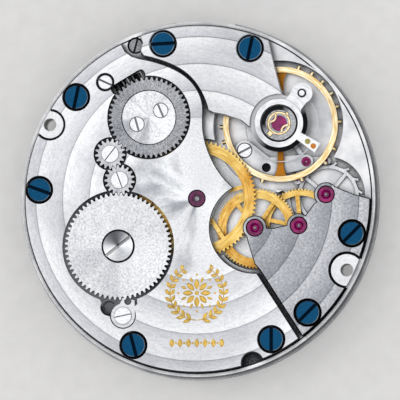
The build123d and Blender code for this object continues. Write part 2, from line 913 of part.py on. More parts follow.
export_step(pallet_bridge.part, "parts/pallet_bridge.step")

# Screws
with BuildPart() as bridge_screws:
    for angle, slot in zip(screw_angles, screw_slots):
        add(
            slotted_screw(
                polar(screw_circle_radius, angle),
                tapped_floor + air_gap,
                bridge_top - blue_head_height,
                bridge_top,
                blue_shank_radius,
                blue_head_radius,
                slot,
                blue_slot_width,
            )
        )
bridge_screws.part.label = "bridge_screws"
export_step(bridge_screws.part, "parts/bridge_screws.step")

core_top = 2.42
core_seat = 2.28
core_hub_radius = 1.55
core_rim_radius = 2.04
crown_web_top = 2.22
core_disc_bottom = 2.24
core_disc_top = 2.38
crown_bore = core_hub_radius + running_gap
crown_counterbore = core_rim_radius + running_gap
cover_bottom = 0.02
cover_top = 0.12
lever_bottom = 0.16
lever_top = 0.33
shoulder_seat = 2.38
shoulder_top = 2.48
screw_end = 1.74
cover_screw_seat = bridge_top - small_head_height
pallet_screw_end = screw_end - plate_top + dial_recess_depth

with BuildPart() as small_steel_screws:
    for place, bottom, seat, top, slot in (
        (core_screw_places[0], screw_end, core_seat, core_top, core_screw_slots[0]),
        (core_screw_places[1], screw_end, core_seat, core_top, core_screw_slots[1]),
        (cover_screw_place, cover_bottom, cover_screw_seat, bridge_top, cover_screw_slot),
        (lever_screw_place, lever_bottom, lever_screw_seat, plate_top - air_gap, lever_screw_slot),
        (
            pallet_screw_place,
            pallet_screw_end,
            pallet_screw_seat,
            pallet_screw_top,
            pallet_screw_slot,
        ),
    ):
        add(
            slotted_screw(
                place, bottom, seat, top, small_shank_radius, small_head_radius, slot, small_slot_width
            )
        )
small_steel_screws.part.label = "small_steel_screws"
export_step(small_steel_screws.part, "parts/small_steel_screws.step")

with BuildPart() as shoulder_screws:
    for place, slot in (
        (upper_small_place, small_wheel_slots[0]),
        (lower_small_place, small_wheel_slots[1]),
        (click_place, click_slot),
    ):
        profile = [
            (small_shank_radius, screw_end),
            (small_shank_radius, wheel_recess_floor),
            (shoulder_radius - running_gap, wheel_recess_floor),
            (shoulder_radius - running_gap, shoulder_seat),
            (shoulder_head_radius, shoulder_seat),
            (shoulder_head_radius, shoulder_top - screw_bevel / 2),
            (shoulder_head_radius - screw_bevel / 2, shoulder_top),
        ]
        add(turned(place, profile))
        with BuildSketch(level(place, shoulder_top)):
            Rectangle(2 * shoulder_head_radius + screw_bevel, small_slot_width / 2, rotation=slot)
        extrude(amount=-screw_bevel, mode=Mode.SUBTRACT)
shoulder_screws.part.label = "shoulder_screws"
export_step(shoulder_screws.part, "parts/shoulder_screws.step")

# Jewels that stay in the plate and the bridges
with BuildPart() as train_jewels_upper:
    add(ring_jewel(centre_place, jewel_bottom, jewel_top, bearing_jewel_radius, centre_bearing_hole))
    for place in (third_place, fourth_place, escape_place):
        add(ring_jewel(place, jewel_bottom, jewel_top, bearing_jewel_radius, bearing_hole))
train_jewels_upper.part.label = "train_jewels_upper"
export_step(train_jewels_upper.part, "parts/train_jewels_upper.step")

centre_lower_hole = 0.44
with BuildPart() as train_jewels_lower:
    add(
        turned(
            centre_place,
            [
                (centre_jewel_radius - jewel_fit, dial_recess_depth),
                (centre_jewel_radius - jewel_fit, train_floor),
            ],
            centre_lower_hole,
        )
    )
    for place, floor in (
        (third_place, train_floor),
        (fourth_place, train_floor),
        (escape_place, escape_floor),
    ):
        add(
            turned(
                place,
                [
                    (lower_jewel_radius - jewel_fit, floor - lower_jewel_height),
                    (lower_jewel_radius - jewel_fit, floor),
                ],
                bearing_hole,
            )
        )
train_jewels_lower.part.label = "train_jewels_lower"
export_step(train_jewels_lower.part, "parts/train_jewels_lower.step")

with BuildPart() as pallet_jewels:
    add(
        ring_jewel(
            pallet_place,
            pallet_bridge_bottom + jewel_fit,
            pallet_bridge_top - jewel_fit,
            small_jewel_radius,
            small_bearing_hole,
        )
    )
    add(
        turned(
            pallet_place,
            [
                (lower_jewel_radius - jewel_fit, escape_floor - lower_jewel_height),
                (lower_jewel_radius - jewel_fit, escape_floor),
            ],
            small_bearing_hole,
        )
    )
pallet_jewels.part.label = "pallet_jewels"
export_step(pallet_jewels.part, "parts/pallet_jewels.step")

arbor_radius = 0.70
with BuildPart() as barrel_jewels:
    for bottom in (train_floor - barrel_jewel_height, wheel_recess_floor - barrel_jewel_height):
        add(
            turned(
                barrel_place,
                [
                    (barrel_jewel_radius - jewel_fit, bottom),
                    (barrel_jewel_radius - jewel_fit, bottom + barrel_jewel_height - jewel_fit),
                ],
                arbor_radius + running_gap,
            )
        )
barrel_jewels.part.label = "barrel_jewels"
export_step(barrel_jewels.part, "parts/barrel_jewels.step")

# Winding wheels on the barrel bridge
square_size = 0.96
ratchet_square = 0.98
ratchet_counterbore = 1.25
ratchet_web_top = 2.22
ratchet_screw_radius = 1.155
ratchet_screw_shank = 0.45
ratchet_screw_bottom = 1.40
ratchet_screw_top = 2.46
ratchet_slot_width = 0.30
ratchet_slot = 38
click_bottom = 2.02
click_top = 2.34
click_horn_share = [(-0.74, 0.65), (-0.25, 1.0), (-0.02, 1.48), (0.97, 1.27), (1.0, 0.10), (0.0, 0.0)]
click_hollow_share = [(0.41, 1.19)]
click_hollow_radius = 0.27
click_wire = 0.08
click_wire_radius = 0.45
click_wire_top = 2.20

with BuildPart() as ratchet_wheel:
    with BuildSketch(level(barrel_place, winding_wheel_bottom)):
        add(gear_face(ratchet_pitch, ratchet_teeth, ratchet_phase))
        Rectangle(ratchet_square, ratchet_square, mode=Mode.SUBTRACT)
    extrude(amount=winding_wheel_top - winding_wheel_bottom)
    with BuildSketch(level(barrel_place, ratchet_web_top)):
        Circle(ratchet_counterbore)
    extrude(amount=winding_wheel_top - ratchet_web_top, mode=Mode.SUBTRACT)
ratchet_wheel.part.label = "ratchet_wheel"
export_step(ratchet_wheel.part, "parts/ratchet_wheel.step")

with BuildPart() as ratchet_screw:
    add(
        slotted_screw(
            barrel_place,
            ratchet_screw_bottom,
            ratchet_web_top,
            ratchet_screw_top,
            ratchet_screw_shank,
            ratchet_screw_radius,
            ratchet_slot,
            ratchet_slot_width,
        )
    )
ratchet_screw.part.label = "ratchet_screw"
export_step(ratchet_screw.part, "parts/ratchet_screw.step")

with BuildPart() as crown_wheel:
    with BuildSketch(level(crown_place, winding_wheel_bottom)):
        add(gear_face(crown_pitch, crown_teeth, crown_phase, bore=crown_bore))
    extrude(amount=winding_wheel_top - winding_wheel_bottom)
    with BuildSketch(level(crown_place, crown_web_top)):
        Circle(crown_counterbore)
    extrude(amount=winding_wheel_top - crown_web_top, mode=Mode.SUBTRACT)
crown_wheel.part.label = "crown_wheel"
export_step(crown_wheel.part, "parts/crown_wheel.step")

with BuildPart() as crown_wheel_core:
    add(
        turned(
            crown_place,
            [
                (core_hub_radius, wheel_recess_floor),
                (core_hub_radius, core_disc_bottom),
                (core_rim_radius, core_disc_bottom),
                (core_rim_radius, core_disc_top - screw_bevel),
                (core_rim_radius - screw_bevel, core_disc_top),
            ],
        )
    )
    with BuildSketch(Plane.XY.offset(wheel_recess_floor)):
        with Locations(*core_screw_places):
            Circle(small_shank_radius + running_gap)
    extrude(amount=core_disc_top - wheel_recess_floor, mode=Mode.SUBTRACT)
    with BuildSketch(Plane.XY.offset(core_seat)):
        with Locations(*core_screw_places):
            Circle(small_head_radius + head_gap)
    extrude(amount=core_disc_top - core_seat, mode=Mode.SUBTRACT)
crown_wheel_core.part.label = "crown_wheel_core"
export_step(crown_wheel_core.part, "parts/crown_wheel_core.step")

with BuildPart() as intermediate_wheel_1:
    with BuildSketch(level(upper_small_place, winding_wheel_bottom)):
        add(gear_face(small_wheel_pitch, small_wheel_teeth, upper_small_phase, bore=shoulder_radius))
    extrude(amount=winding_wheel_top - winding_wheel_bottom)
intermediate_wheel_1.part.label = "intermediate_wheel_1"
export_step(intermediate_wheel_1.part, "parts/intermediate_wheel_1.step")

with BuildPart() as intermediate_wheel_2:
    with BuildSketch(level(lower_small_place, winding_wheel_bottom)):
        add(gear_face(small_wheel_pitch, small_wheel_teeth, lower_small_phase, bore=shoulder_radius))
    extrude(amount=winding_wheel_top - winding_wheel_bottom)
intermediate_wheel_2.part.label = "intermediate_wheel_2"
export_step(intermediate_wheel_2.part, "parts/intermediate_wheel_2.step")

with BuildPart() as click:
    with BuildSketch(level(click_place, click_bottom)):
        Circle(click_boss_radius)
        with BuildLine():
            Polyline(*scaled(click_horn_share, click_boss_radius), close=True)
        make_face()
        with Locations(*scaled(click_hollow_share, click_boss_radius)):
            Circle(click_hollow_radius, mode=Mode.SUBTRACT)
        Circle(shoulder_radius, mode=Mode.SUBTRACT)
    extrude(amount=click_top - click_bottom)
click.part.label = "click"
export_step(click.part, "parts/click.step")

click_spring_gap = [40, -20, -90]
with BuildPart() as click_spring:
    with BuildSketch(level(click_spring_place, wheel_recess_floor)):
        Circle(click_wire_radius + click_wire / 2)
        Circle(click_wire_radius - click_wire / 2, mode=Mode.SUBTRACT)
        with BuildLine():
            Polyline(
                centre_place,
                *[polar(2 * click_spring_pocket, angle) for angle in click_spring_gap],
                close=True,
            )
        make_face(mode=Mode.SUBTRACT)
    extrude(amount=click_wire_top - wheel_recess_floor)
click_spring.part.label = "click_spring"
export_step(click_spring.part, "parts/click_spring.step")

# Barrel
arbor_core_radius = 1.20
drum_wall_outer = 5.60
drum_wall_inner = 5.45
drum_floor = 0.12
arbor_bottom = 0.28
coil_width = 0.25
coil_turns = 4.5
coil_steps = 24
coil_start_radius = arbor_core_radius + coil_width / 2 + running_gap
coil_end_radius = drum_wall_inner - coil_width / 2 - jewel_fit
coil_bottom = barrel_bottom + drum_floor
coil_height = barrel_top - barrel_bottom - 2 * drum_floor - 2 * running_gap

with BuildPart() as barrel_drum:
    with BuildSketch(level(barrel_place, barrel_bottom)):
        add(gear_face(barrel_pitch, barrel_teeth, barrel_phase))
    extrude(amount=barrel_rim_height)
    with BuildSketch(level(barrel_place, barrel_bottom)):
        Circle(drum_wall_outer)
    extrude(amount=barrel_top - barrel_bottom)
    with BuildSketch(level(barrel_place, barrel_bottom + drum_floor)):
        Circle(drum_wall_inner)
    extrude(amount=barrel_top - barrel_bottom - drum_floor, mode=Mode.SUBTRACT)
    with BuildSketch(level(barrel_place, barrel_bottom)):
        Circle(arbor_radius + running_gap)
    extrude(amount=drum_floor, mode=Mode.SUBTRACT)
barrel_drum.part.label = "barrel_drum"
export_step(barrel_drum.part, "parts/barrel_drum.step")

with BuildPart() as barrel_cover:
    with BuildSketch(level(barrel_place, barrel_top - drum_floor)):
        Circle(drum_wall_inner - jewel_fit)
        Circle(arbor_radius + running_gap, mode=Mode.SUBTRACT)
    extrude(amount=drum_floor)
barrel_cover.part.label = "barrel_cover"
export_step(barrel_cover.part, "parts/barrel_cover.step")

with BuildPart() as barrel_arbor:
    add(
        turned(
            barrel_place,
            [
                (arbor_radius, arbor_bottom),
                (arbor_radius, barrel_bottom + drum_floor + running_gap),
                (arbor_core_radius, barrel_bottom + drum_floor + running_gap),
                (arbor_core_radius, barrel_top - drum_floor - running_gap),
                (arbor_radius, barrel_top - drum_floor - running_gap),
                (arbor_radius, wheel_recess_floor),
            ],
        )
    )
    with BuildSketch(level(barrel_place, wheel_recess_floor)):
        Rectangle(square_size, square_size)
    extrude(amount=ratchet_web_top - running_gap - wheel_recess_floor)
    with BuildSketch(level(barrel_place, ratchet_screw_bottom - air_gap)):
        Circle(ratchet_screw_shank + jewel_fit)
    extrude(amount=ratchet_web_top - ratchet_screw_bottom + air_gap, mode=Mode.SUBTRACT)
barrel_arbor.part.label = "barrel_arbor"
export_step(barrel_arbor.part, "parts/barrel_arbor.step")

with BuildPart() as mainspring:
    coil_count = round(coil_turns * coil_steps)
    coil_points = []
    for step in range(coil_count + 1):
        coil_radius = coil_start_radius + (coil_end_radius - coil_start_radius) * step / coil_count
        coil_points.append((coil_radius, 360 * step / coil_steps))
    coil_outside = [polar(radius + coil_width / 2, angle) for radius, angle in coil_points]
    coil_inside = [polar(radius - coil_width / 2, angle) for radius, angle in coil_points]
    with BuildSketch(level(barrel_place, coil_bottom)):
        with BuildLine():
            Polyline(*coil_outside, *reversed(coil_inside), close=True)
        make_face()
    extrude(amount=coil_height)
mainspring.part.label = "mainspring"
export_step(mainspring.part, "parts/mainspring.step")

# Keyless work: winding and sliding pinions, stem, setting lever and yoke
crown_gap_turn = 360 / crown_teeth
crown_gap_offset = (crown_phase + crown_gap_turn / 2 - stem_angle) % crown_gap_turn
if crown_gap_offset > crown_gap_turn / 2:
    crown_gap_offset -= crown_gap_turn
winding_phase = 90 - crown_gap_offset * crown_teeth / winding_teeth
square_bore = 0.52
crown_end_length = 0.18
lever_hub_radius = 0.50
lever_arm_radius = 0.30
lever_pin_radius = 0.20
lever_pin_top = 0.82
lever_nose_radius = 0.22
lever_nose_place = on_stem(10.90, 0.75)
lever_pin_place = on_stem((stem_groove_start + stem_groove_end) / 2)
yoke_hub_radius = 0.55
yoke_finger_radius = 0.14
yoke_finger_top = 0.62
yoke_finger_place = on_stem(8.45, -0.15)
yoke_tail_place = on_stem(10.35, 1.85)
yoke_tail_radius = 0.25
yoke_place = on_stem(yoke_post_along, yoke_post_across)
yoke_spring_start = 6.30
yoke_spring_end = 10.30
yoke_spring_foot = 0.80
yoke_spring_width = 0.12
yoke_spring_bottom = 0.20


def ring_of_blocks(inner, outer, count, arc, first):
    """The faces of a ring of equal blocks, given by radii, number and arc."""
    with BuildSketch() as blocks:
        for block in range(count):
            middle = first + block * 360 / count
            with BuildLine():
                Polyline(
                    polar(inner, middle - arc / 2),
                    polar(outer, middle - arc / 2),
                    polar(outer, middle),
                    polar(outer, middle + arc / 2),
                    polar(inner, middle + arc / 2),
                    polar(inner, middle),
                    close=True,
                )
            make_face()
    return blocks.sketch


with BuildPart() as winding_pinion:
    with BuildSketch(stem_plane.offset(winding_start)):
        add(gear_face(winding_pitch, winding_teeth, winding_phase))
    extrude(amount=winding_end - winding_start)
    with BuildSketch(stem_plane.offset(winding_start)):
        add(ring_of_blocks(dog_inner, dog_outer, dog_count, dog_arc, 0))
    extrude(amount=-dog_length)
    with BuildSketch(stem_plane.offset(winding_start)):
        Circle(stem_round_radius + running_gap)
    extrude(amount=winding_end - winding_start, mode=Mode.SUBTRACT)
winding_pinion.part.label = "winding_pinion"
export_step(winding_pinion.part, "parts/winding_pinion.step")

with BuildPart() as sliding_pinion:
    with BuildSketch(stem_plane.offset(sliding_start + crown_end_length)):
        Circle(sliding_radius)
    extrude(amount=sliding_end - sliding_start - crown_end_length)
    with BuildSketch(stem_plane.offset(sliding_start + crown_end_length)):
        add(
            ring_of_blocks(
                dog_inner, sliding_radius - running_gap, crown_end_teeth, 180 / crown_end_teeth, 0
            )
        )
    extrude(amount=-crown_end_length)
    with BuildSketch(stem_plane.offset(sliding_end)):
        add(ring_of_blocks(dog_inner, dog_outer, dog_count, dog_arc, 180 / dog_count))
    extrude(amount=dog_length)
    with BuildSketch(stem_plane.offset(sliding_groove_start)):
        Circle(sliding_radius + overrun)
        Circle(sliding_groove_radius, mode=Mode.SUBTRACT)
    extrude(amount=sliding_groove_end - sliding_groove_start, mode=Mode.SUBTRACT)
    with BuildSketch(stem_plane.offset(sliding_start)):
        Rectangle(square_bore, square_bore)
    extrude(amount=sliding_end - sliding_start, mode=Mode.SUBTRACT)
sliding_pinion.part.label = "sliding_pinion"
export_step(sliding_pinion.part, "parts/sliding_pinion.step")

with BuildPart() as winding_stem:
    for start, end, radius in (
        (stem_inner_end, stem_square_start, stem_pilot_radius),
        (stem_round_start, stem_shoulder, stem_round_radius),
        (stem_shoulder, stem_outer_end, stem_radius),
    ):
        with BuildSketch(stem_plane.offset(start)):
            Circle(radius)
        extrude(amount=end - start)
    with BuildSketch(stem_plane.offset(stem_square_start)):
        Rectangle(stem_square, stem_square)
    extrude(amount=stem_round_start - stem_square_start)
    with BuildSketch(stem_plane.offset(stem_groove_start)):
        Circle(stem_radius + overrun)
        Circle(stem_groove_radius, mode=Mode.SUBTRACT)
    extrude(amount=stem_groove_end - stem_groove_start, mode=Mode.SUBTRACT)
winding_stem.part.label = "winding_stem"
export_step(winding_stem.part, "parts/winding_stem.step")

with BuildPart() as setting_lever:
    with BuildSketch(Plane.XY.offset(lever_bottom)):
        with Locations(lever_screw_place):
            Circle(lever_hub_radius)
        with Locations(lever_pin_place):
            Circle(lever_arm_radius)
        make_hull()
    with BuildSketch(Plane.XY.offset(lever_bottom)):
        with Locations(lever_pin_place):
            Circle(lever_arm_radius)
        with Locations(lever_nose_place):
            Circle(lever_nose_radius)
        make_hull()
    extrude(amount=lever_top - lever_bottom)
    with BuildSketch(Plane.XY.offset(lever_bottom)):
        with Locations(lever_screw_place):
            Circle(lever_bore)
    extrude(amount=lever_top - lever_bottom, mode=Mode.SUBTRACT)
    with BuildSketch(Plane.XY.offset(lever_bottom)):
        with Locations(lever_pin_place):
            Circle(lever_pin_radius)
    extrude(amount=lever_pin_top - lever_bottom)
setting_lever.part.label = "setting_lever"
export_step(setting_lever.part, "parts/setting_lever.step")

with BuildPart() as yoke:
    with BuildSketch(Plane.XY.offset(lever_bottom)):
        with Locations(yoke_place):
            Circle(yoke_hub_radius)
        with Locations(yoke_finger_place):
            Circle(lever_nose_radius)
        make_hull()
    with BuildSketch(Plane.XY.offset(lever_bottom)):
        with Locations(yoke_place):
            Circle(yoke_hub_radius)
        with Locations(yoke_tail_place):
            Circle(yoke_tail_radius)
        make_hull()
    extrude(amount=lever_top - lever_bottom)
    with BuildSketch(Plane.XY.offset(lever_bottom)):
        with Locations(yoke_place):
            Circle(post_radius + running_gap)
    extrude(amount=lever_top - lever_bottom, mode=Mode.SUBTRACT)
    with BuildSketch(Plane.XY.offset(lever_bottom)):
        with Locations(yoke_finger_place):
            Circle(yoke_finger_radius)
    extrude(amount=yoke_finger_top - lever_bottom)
yoke.part.label = "yoke"
export_step(yoke.part, "parts/yoke.step")

with BuildPart() as yoke_spring:
    yoke_spring_across = yoke_post_across + yoke_hub_radius + running_gap
    with BuildSketch(Plane.XY.offset(yoke_spring_bottom)):
        with BuildLine():
            Polyline(
                on_stem(yoke_spring_start, yoke_spring_across + yoke_spring_width),
                on_stem(yoke_spring_start, yoke_spring_across - yoke_spring_foot),
                on_stem(yoke_spring_start + yoke_spring_foot, yoke_spring_across - yoke_spring_foot),
                on_stem(yoke_spring_start + yoke_spring_foot, yoke_spring_across),
                on_stem(yoke_spring_end, yoke_spring_across),
                on_stem(yoke_spring_end, yoke_spring_across + yoke_spring_width),
                close=True,
            )
        make_face()
    extrude(amount=dial_recess_depth - yoke_spring_bottom)
yoke_spring.part.label = "yoke_spring"
export_step(yoke_spring.part, "parts/yoke_spring.step")

with BuildPart() as keyless_cover:
    with BuildSketch(Plane.XY.offset(cover_bottom)):
        with Locations(yoke_place):
            Circle(yoke_hub_radius)
        with Locations(cover_screw_place):
            Circle(yoke_hub_radius)
        with Locations(lever_screw_place):
            Circle(lever_hub_radius)
        make_hull()
    extrude(amount=cover_top - cover_bottom)
    with BuildSketch(Plane.XY.offset(cover_bottom)):
        with Locations(yoke_place):
            Circle(post_radius + jewel_fit)
        with Locations(cover_screw_place):
            Circle(small_shank_radius + jewel_fit)
    extrude(amount=cover_top - cover_bottom, mode=Mode.SUBTRACT)
keyless_cover.part.label = "keyless_cover"
export_step(keyless_cover.part, "parts/keyless_cover.step")

# Motion work
with BuildPart() as setting_wheel:
    with BuildSketch(level(setting_place, minute_bottom)):
        add(gear_face(setting_pitch, setting_teeth, setting_phase, bore=post_radius + running_gap))
    extrude(amount=minute_top - minute_bottom)
setting_wheel.part.label = "setting_wheel"
export_step(setting_wheel.part, "parts/setting_wheel.step")

with BuildPart() as minute_wheel:
    with BuildSketch(level(minute_place, minute_bottom)):
        add(gear_face(minute_pitch, minute_teeth, minute_phase, bore=post_radius + running_gap))
    extrude(amount=minute_top - minute_bottom)
    with BuildSketch(level(minute_place, hour_bottom)):
        add(
            gear_face(
                minute_pinion_pitch, minute_leaves, minute_pinion_phase, bore=post_radius + running_gap
            )
        )
    extrude(amount=minute_bottom - hour_bottom)
minute_wheel.part.label = "minute_wheel"
export_step(minute_wheel.part, "parts/minute_wheel.step")

with BuildPart() as hour_wheel:
    with BuildSketch(Plane.XY.offset(hour_bottom)):
        add(gear_face(hour_pitch, hour_teeth, hour_phase, bore=hour_pipe_bore))
    extrude(amount=hour_top - hour_bottom)
    with BuildSketch(Plane.XY.offset(hour_bottom)):
        Circle(hour_pipe_radius)
        Circle(hour_pipe_bore, mode=Mode.SUBTRACT)
    extrude(amount=hour_pipe_end - hour_bottom)
hour_wheel.part.label = "hour_wheel"
export_step(hour_wheel.part, "parts/hour_wheel.step")

with BuildPart() as cannon_pinion:
    with BuildSketch(Plane.XY.offset(hour_top + running_gap)):
        add(gear_face(cannon_pitch, cannon_leaves, cannon_phase, bore=cannon_bore))
    extrude(amount=minute_top - hour_top - running_gap)
    with BuildSketch(Plane.XY.offset(cannon_end)):
        Circle(cannon_radius)
        Circle(cannon_bore, mode=Mode.SUBTRACT)
    extrude(amount=minute_top - cannon_end)
cannon_pinion.part.label = "cannon_pinion"
export_step(cannon_pinion.part, "parts/cannon_pinion.step")

# Going train: each wheel sits on a shoulder of its arbor
centre_arbor_radius = 0.42
centre_stud_radius = 0.30
centre_stud_end = -1.30
centre_leaves_bottom = 0.52
centre_leaves_top = 0.80
centre_shoulder_radius = 0.75
centre_neck_radius = 0.30
centre_pivot_radius = 0.16
shoulder_height = 0.08
upper_shoulder = 1.93
upper_pivot_end = 2.20
centre_rim_inner = 3.44
third_rim_inner = 2.24
fourth_rim_inner = 2.30
escape_rim_inner = 2.04
train_spokes = 5
spoke_width = 0.30
centre_spoke_angle = 15
third_spoke_angle = 56
fourth_spoke_angle = 96
centre_hub_radius = 0.85
third_hub_radius = 0.60
fourth_hub_radius = 0.55
third_seat_radius = 0.25
third_arbor_radius = 0.20
fourth_seat_radius = 0.20
fourth_arbor_radius = 0.16
third_shoulder_radius = 0.42
fourth_shoulder_radius = 0.38
third_leaves_bottom = 1.28
third_leaves_top = 1.64
fourth_leaves_bottom = 1.02
fourth_leaves_top = 1.32
escape_leaves_bottom = 0.80
escape_leaves_top = 1.05
pivot_start = 0.02

with BuildPart() as centre_wheel:
    with BuildSketch(Plane.XY.offset(centre_bottom)):
        add(
            spoked_face(
                centre_pitch,
                centre_teeth,
                centre_phase,
                centre_rim_inner,
                centre_hub_radius,
                centre_arbor_radius + jewel_fit,
                train_spokes,
                centre_spoke_angle,
                spoke_width,
            )
        )
    extrude(amount=wheel_thickness)
centre_wheel.part.label = "centre_wheel"
export_step(centre_wheel.part, "parts/centre_wheel.step")

with BuildPart() as centre_pinion:
    add(
        turned(
            centre_place,
            [
                (centre_stud_radius, centre_stud_end),
                (centre_stud_radius, minute_top + running_gap),
                (centre_arbor_radius, minute_top + running_gap),
                (centre_arbor_radius, centre_bottom - shoulder_height),
                (centre_shoulder_radius, centre_bottom - shoulder_height),
                (centre_shoulder_radius, centre_bottom),
                (centre_arbor_radius, centre_bottom),
                (centre_arbor_radius, centre_bottom + wheel_thickness),
                (centre_neck_radius, centre_bottom + wheel_thickness),
                (centre_neck_radius, upper_shoulder),
                (centre_pivot_radius, upper_shoulder),
                (centre_pivot_radius, upper_pivot_end),
            ],
        )
    )
    with BuildSketch(Plane.XY.offset(centre_leaves_bottom)):
        add(gear_face(centre_pinion_pitch, centre_leaves, 0))
    extrude(amount=centre_leaves_top - centre_leaves_bottom)
centre_pinion.part.label = "centre_pinion"
export_step(centre_pinion.part, "parts/centre_pinion.step")


def train_arbor(place, floor, wheel_bottom, seat, arbor, shoulder, leaves_bottom):
    """The arbor of a train wheel, from its lower pivot to its upper one."""
    return turned(
        place,
        [
            (pivot_radius, floor - lower_jewel_height + pivot_start),
            (pivot_radius, floor + pivot_start),
            (arbor, floor + pivot_start),
            (arbor, wheel_bottom - shoulder_height + running_gap),
            (shoulder, wheel_bottom - shoulder_height + running_gap),
            (shoulder, wheel_bottom),
            (seat, wheel_bottom),
            (seat, leaves_bottom),
            (arbor, leaves_bottom),
            (arbor, upper_shoulder),
            (pivot_radius, upper_shoulder),
            (pivot_radius, upper_pivot_end),
        ],
    )


with BuildPart() as third_wheel:
    with BuildSketch(level(third_place, third_bottom)):
        add(
            spoked_face(
                third_pitch,
                third_teeth,
                third_phase,
                third_rim_inner,
                third_hub_radius,
                third_seat_radius + jewel_fit,
                train_spokes,
                third_spoke_angle,
                spoke_width,
            )
        )
    extrude(amount=wheel_thickness)
third_wheel.part.label = "third_wheel"
export_step(third_wheel.part, "parts/third_wheel.step")

with BuildPart() as third_pinion:
    add(
        train_arbor(
            third_place,
            train_floor,
            third_bottom,
            third_seat_radius,
            third_arbor_radius,
            third_shoulder_radius,
            third_leaves_bottom,
        )
    )
    with BuildSketch(level(third_place, third_leaves_bottom)):
        add(gear_face(third_pinion_pitch, third_leaves, third_pinion_phase))
    extrude(amount=third_leaves_top - third_leaves_bottom)
third_pinion.part.label = "third_pinion"
export_step(third_pinion.part, "parts/third_pinion.step")

with BuildPart() as fourth_wheel:
    with BuildSketch(level(fourth_place, fourth_bottom)):
        add(
            spoked_face(
                fourth_pitch,
                fourth_teeth,
                fourth_phase,
                fourth_rim_inner,
                fourth_hub_radius,
                fourth_seat_radius + jewel_fit,
                train_spokes,
                fourth_spoke_angle,
                spoke_width,
            )
        )
    extrude(amount=wheel_thickness)
fourth_wheel.part.label = "fourth_wheel"
export_step(fourth_wheel.part, "parts/fourth_wheel.step")

with BuildPart() as fourth_pinion:
    add(
        train_arbor(
            fourth_place,
            train_floor,
            fourth_bottom,
            fourth_seat_radius,
            fourth_arbor_radius,
            fourth_shoulder_radius,
            fourth_leaves_bottom,
        )
    )
    with BuildSketch(level(fourth_place, fourth_leaves_bottom)):
        add(gear_face(fourth_pinion_pitch, fourth_leaves, fourth_pinion_phase))
    extrude(amount=fourth_leaves_top - fourth_leaves_bottom)
fourth_pinion.part.label = "fourth_pinion"
export_step(fourth_pinion.part, "parts/fourth_pinion.step")

# Escape wheel with club teeth, pallet fork and its stones
escape_lock_radius = 2.50
escape_heel_radius = 2.59
escape_back_radius = 2.46
escape_root_radius = 2.29
escape_first_tooth = 2.3
escape_front_turn = 4.0
escape_heel_turn = 3.8
escape_back_turn = 4.8
escape_root_turn = 9.5
escape_spokes = 4
escape_spoke_angle = 51
escape_spoke_width = 0.24
escape_hub_radius = 0.50
stone_angles = [152.3, 92.3]
stone_width = 0.16
stone_length = 0.50
stone_inner_radius = 2.50
stone_bottom = 0.43
stone_top = 0.72
fork_bottom = 0.62
fork_top = 0.74
fork_hub_radius = 0.35
fork_arm_reach = 1.52
fork_arm_angles = [-116.6, 3.2]
fork_arm_end = 0.30
fork_lever_half = 0.15
fork_head_start = 2.30
fork_head_wide = 2.46
fork_head_half = 0.375
fork_reach = 2.75
notch_start = 2.50
notch_half = 0.13
dart_start = 2.20
dart_block_end = 2.44
dart_end = 2.88
dart_half = 0.06
dart_bottom = 0.48
dart_top = 0.56
pallet_arbor_radius = 0.12
pallet_shoulder_radius = 0.24
pallet_shoulder_height = 0.06
pallet_pivot_radius = 0.05
fork_plane = Plane(
    (pallet_place[0], pallet_place[1], fork_bottom),
    x_dir=(cos(radians(pallet_line)), sin(radians(pallet_line)), 0),
    z_dir=(0, 0, 1),
)

with BuildPart() as escape_wheel:
    tooth_points = []
    for tooth in range(escape_teeth):
        lead_angle = escape_first_tooth + tooth * 360 / escape_teeth
        tooth_points.append(polar(escape_root_radius, lead_angle + escape_front_turn))
        tooth_points.append(polar(escape_lock_radius, lead_angle))
        tooth_points.append(polar(escape_heel_radius, lead_angle + escape_heel_turn))
        tooth_points.append(polar(escape_back_radius, lead_angle + escape_back_turn))
        tooth_points.append(polar(escape_root_radius, lead_angle + escape_root_turn))
    with BuildSketch(level(escape_place, escape_bottom)):
        with BuildLine():
            Polyline(*tooth_points, close=True)
        make_face()
        Circle(escape_rim_inner, mode=Mode.SUBTRACT)
        with PolarLocations(
            (escape_rim_inner + escape_hub_radius) / 2, escape_spokes, escape_spoke_angle
        ):
            Rectangle(
                escape_rim_inner - escape_hub_radius + escape_spoke_width, escape_spoke_width
            )
        Circle(escape_hub_radius)
        Circle(fourth_seat_radius + jewel_fit, mode=Mode.SUBTRACT)
    extrude(amount=wheel_thickness)
escape_wheel.part.label = "escape_wheel"
export_step(escape_wheel.part, "parts/escape_wheel.step")

with BuildPart() as escape_pinion:
    add(
        turned(
            escape_place,
            [
                (pivot_radius, escape_floor - lower_jewel_height + pivot_start),
                (pivot_radius, escape_floor + pivot_start),
                (fourth_shoulder_radius, escape_floor + pivot_start),
                (fourth_shoulder_radius, escape_bottom),
                (fourth_seat_radius, escape_bottom),
                (fourth_seat_radius, escape_leaves_bottom),
                (fourth_arbor_radius, escape_leaves_bottom),
                (fourth_arbor_radius, upper_shoulder),
                (pivot_radius, upper_shoulder),
                (pivot_radius, upper_pivot_end),
            ],
        )
    )
    with BuildSketch(level(escape_place, escape_leaves_bottom)):
        add(gear_face(escape_pinion_pitch, escape_leaves, escape_pinion_phase))
    extrude(amount=escape_leaves_top - escape_leaves_bottom)
escape_pinion.part.label = "escape_pinion"
export_step(escape_pinion.part, "parts/escape_pinion.step")


def stone_faces(growth):
    """The two pallet stones seen from above, grown by a fit."""
    with BuildSketch() as stones:
        for angle in stone_angles:
            place = polar(stone_inner_radius + stone_length / 2, angle, escape_place)
            with Locations(Location((*place, 0), (0, 0, angle))):
                Rectangle(stone_length + 2 * growth, stone_width + 2 * growth)
    return stones.sketch


